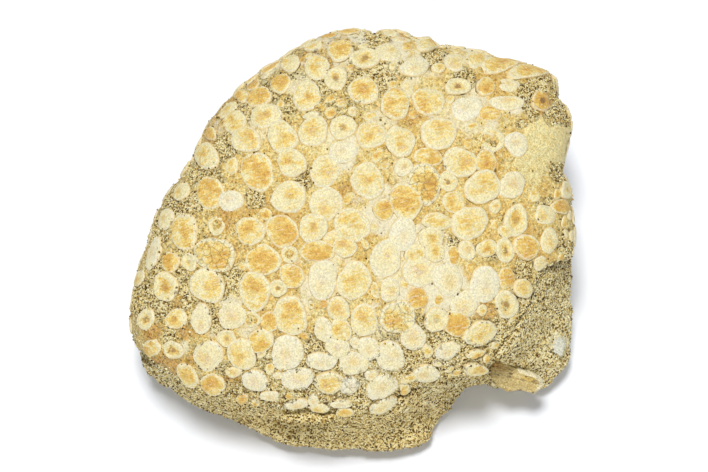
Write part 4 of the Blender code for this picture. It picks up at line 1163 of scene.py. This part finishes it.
def randomTurns(count, draw):  # rotation matrices from random quaternions
    q = draw.normal(size=(count, 4))
    w, x, y, z = (q / np.linalg.norm(q, axis=1)[:, None]).T
    return np.stack((1 - 2 * (y * y + z * z), 2 * (x * y - z * w), 2 * (x * z + y * w),
                     2 * (x * y + z * w), 1 - 2 * (x * x + z * z), 2 * (y * z - x * w),
                     2 * (x * z - y * w), 2 * (y * z + x * w), 1 - 2 * (x * x + y * y)),
                    axis=1).reshape(-1, 3, 3)


def meshOfGrains(name, spots, normals, masters, draw):
    allPoints, allFaces, start = [], [], 0
    for share, (co, faces) in zip(np.array_split(np.arange(len(spots)), len(masters)), masters):
        count = len(share)
        size = draw.uniform(*grains["across"], (count, 1, 1)) * mm
        squash = draw.uniform(*grains["squash"], (count, 1, 3))
        knocked = co * squash * (1 + draw.uniform(-1, 1, (count, len(co), 1)) * grains["rough"])
        turned = np.einsum("nij,nkj->nki", randomTurns(count, draw), knocked) * size
        placed = turned + (spots[share] + normals[share] * size[:, :, 0] * grains["showing"])[:, None]
        placed[:, :, 2] = np.maximum(placed[:, :, 2], 0.0)
        allPoints.append(placed.reshape(-1, 3))
        allFaces.append((faces + np.arange(count)[:, None, None] * len(co) + start).reshape(-1, 3))
        start += count * len(co)
    mesh = bpy.data.meshes.new(name)
    mesh.from_pydata(np.concatenate(allPoints), [], np.concatenate(allFaces), shade_flat=False)
    mesh.validate()
    return linked(name, mesh)


def scatterGrains():
    draw = np.random.default_rng(3)
    co, triangles = surfaceOf(sandLump)
    clear = (co[triangles][:, :, 2].max(axis=1) > 0.05 * mm).astype(float)  # of the ground
    onLump = inTheOpen(*spotsOn(co, triangles, clear, grains["onLump"], draw), plateCrust)
    co, triangles = surfaceOf(plateCrust)
    weight = softStep(0.25, 0.6, painted(plateCrust, "sandy")[triangles].mean(axis=1)) + 0.03
    onPlate = onOutside(*spotsOn(co, triangles, weight, grains["onPlate"], draw))
    onPlate = inTheOpen(*onPlate, crushingTeeth)
    co, triangles = surfaceOf(crushingTeeth)
    u, v, _ = toFace(co)
    gritty = np.maximum(softStep(-6.0, -20.0, u), softStep(-6.0, -18.0, v)) + 0.08
    weight = (softStep(0.78, 0.95, painted(crushingTeeth, "across")) * gritty)[triangles].mean(axis=1)
    onEdges = spotsOn(co, triangles, weight, grains["onTeeth"], draw)
    spots, normals = (np.concatenate(sets) for sets in zip(onLump, onPlate, onEdges))
    order = draw.permutation(len(spots))
    masters = [grainMaster(kind) for kind in ("round", "blocky")]
    shares = np.cumsum([share for _, share in grains["kinds"].values()])
    ends = np.concatenate(([0], shares / shares[-1] * len(spots))).astype(int)
    made = []
    for (kind, (colour, _)), first, last in zip(grains["kinds"].items(), ends[:-1], ends[1:]):
        name, chosen = "grains" + kind, order[first:last]
        made.append(meshOfGrains(name, spots[chosen], normals[chosen], masters, draw))
        made[-1].data.materials.append(finishMaterial(newMaterial(name), colour, grains["roughness"], 0.3))
    print("grains scattered:", sum(len(piece.data.polygons) for piece in made), "faces")
    return made


# shell and bone bits in the sand: u, v, length, width, turn, colour
bits = ((0.8, -27.8, 3.0, 0.8, -4.0, (236, 214, 144)), (31.5, -15.3, 3.6, 2.5, 55.0, (244, 240, 214)),
        (18.7, -21.0, 3.0, 1.0, -24.0, (222, 212, 176)), (-17.6, -25.4, 1.6, 0.8, 20.0, (238, 222, 168)),
        (24.6, -12.2, 1.2, 0.8, 60.0, (232, 206, 140)), (28.6, -18.0, 1.3, 0.7, 10.0, (236, 216, 156)),
        (9.0, -25.0, 1.2, 0.7, 30.0, (240, 226, 178)), (-11.0, -26.2, 1.4, 0.7, -12.0, (232, 204, 134)))
bit = {
    "thick": 0.36,  # millimetres
    "dented": 0.4,
    "raised": 0.04,
    "worn": 0.6,  # light left in the worn spots
    "roughness": 0.7,
}


def makeBit(number, u, v, length, width, turn, colour):
    under = BVHTree.FromObject(sandLump, bpy.context.evaluated_depsgraph_get())
    start, end = toFrame(u, v, 40.0), toFrame(u, v, -40.0)
    spot, normal, _, _ = under.ray_cast(Vector(start), Vector(end - start).normalized())
    piece = fresh(bpy.ops.mesh.primitive_ico_sphere_add, subdivisions=3, radius=0.5 * mm)
    piece.name = piece.data.name = "shellBit" + str(number)
    co = points(piece)
    co = co * (length, width, bit["thick"]) * (1 + bit["dented"] * noiseAt(co / mm, 0.3, number))[:, None]
    co = co @ np.array(Matrix.Rotation(math.radians(turn), 3, "Z")).T
    co = co @ np.array(normal.to_track_quat("Z", "Y").to_matrix()).T
    setPoints(piece, co + np.array(spot) + np.array(normal) * bit["raised"] * mm)
    material, place = startMaterial("shell" + str(number))
    worn = place.noise(0.35, 3.0, 0.7, number).step(-0.15, 0.15)
    colour = worn.mix(srgb(*colour, studioLight / bit["worn"]), srgb(*colour))
    finishPiece(piece, finishMaterial(material, colour, bit["roughness"]))
    return piece


shellBits = [makeBit(number, *row) for number, row in enumerate(bits)]
sandGrains = scatterGrains()


for piece, node, slot in ((sandLump, "matrix", "phosphate_sand"),
                          (plateCrust, "tooth_plate", "tooth_enamel"),
                          (crushingTeeth, "tooth_plate", "tooth_enamel"),
                          (boneSplinter, "bone_fragment", "fossil_bone")):
    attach(piece, "root")
    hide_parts(node)

for piece in sandGrains + shellBits:
    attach(piece, "root")


studio = {
    "sky": (0.28, (0.84, 0.93, 1.08, 1.0)),
    "suns": (("keyFromBehind", -87.0, -3.5, 0.765, 13.0),  # degrees up, aside, strength, softness;
             ("glowFromBehind", -40.0, 0.0, 0.19, 40.0),  # up from the back where they are negative
             ("fillFromFront", 14.0, 8.0, 0.40, 50.0)),
    "floor": srgb(242, 244, 249, 1.0),
    "floorSize": 6.0,  # metres
    "lens": 300.0,
    "sensor": 36.0,
    "frameWidth": 104.29,  # millimetres seen across the picture
    "aim": (1.33, 0.59, 12.0),  # u, v, w at the middle of the picture
}


def makeFloor():
    floor = fresh(bpy.ops.mesh.primitive_plane_add, size=studio["floorSize"])
    floor.name = "studioFloor"
    floor.data.materials.append(finishMaterial(newMaterial("paleFloor"), studio["floor"], 0.9, 0.1))


def makeLights():
    world = bpy.data.worlds.new("softSky")
    bpy.context.scene.world = world
    world.use_nodes = True
    strength, colour = studio["sky"]
    fillSockets(world.node_tree.nodes["Background"], {"Color": colour, "Strength": strength})
    for name, height, aside, strength, softness in studio["suns"]:
        turn = math.copysign(90.0 - abs(height), height)
        turns = (math.radians(turn), math.radians(aside), 0.0)
        sun = fresh(bpy.ops.object.light_add, type="SUN", rotation=turns)
        sun.name = name
        sun.data.energy = strength * math.pi
        sun.data.angle = math.radians(softness)


def makeCamera():
    distance = studio["frameWidth"] * studio["lens"] / studio["sensor"] * mm
    aim = Vector(toFrame(*studio["aim"]))
    away = Vector((0, -leanCos, leanSin)) * distance
    camera = fresh(bpy.ops.object.camera_add, location=aim + away, rotation=(math.pi / 2 - faceLean, 0, 0))
    camera.name = "faceCamera"
    camera.data.lens = studio["lens"]
    camera.data.sensor_width = studio["sensor"]
    camera.data.clip_start = 0.01
    bpy.context.scene.camera = camera


makeFloor()
makeLights()
makeCamera()
bpy.context.scene.view_settings.view_transform = "Standard"
print("stage set")
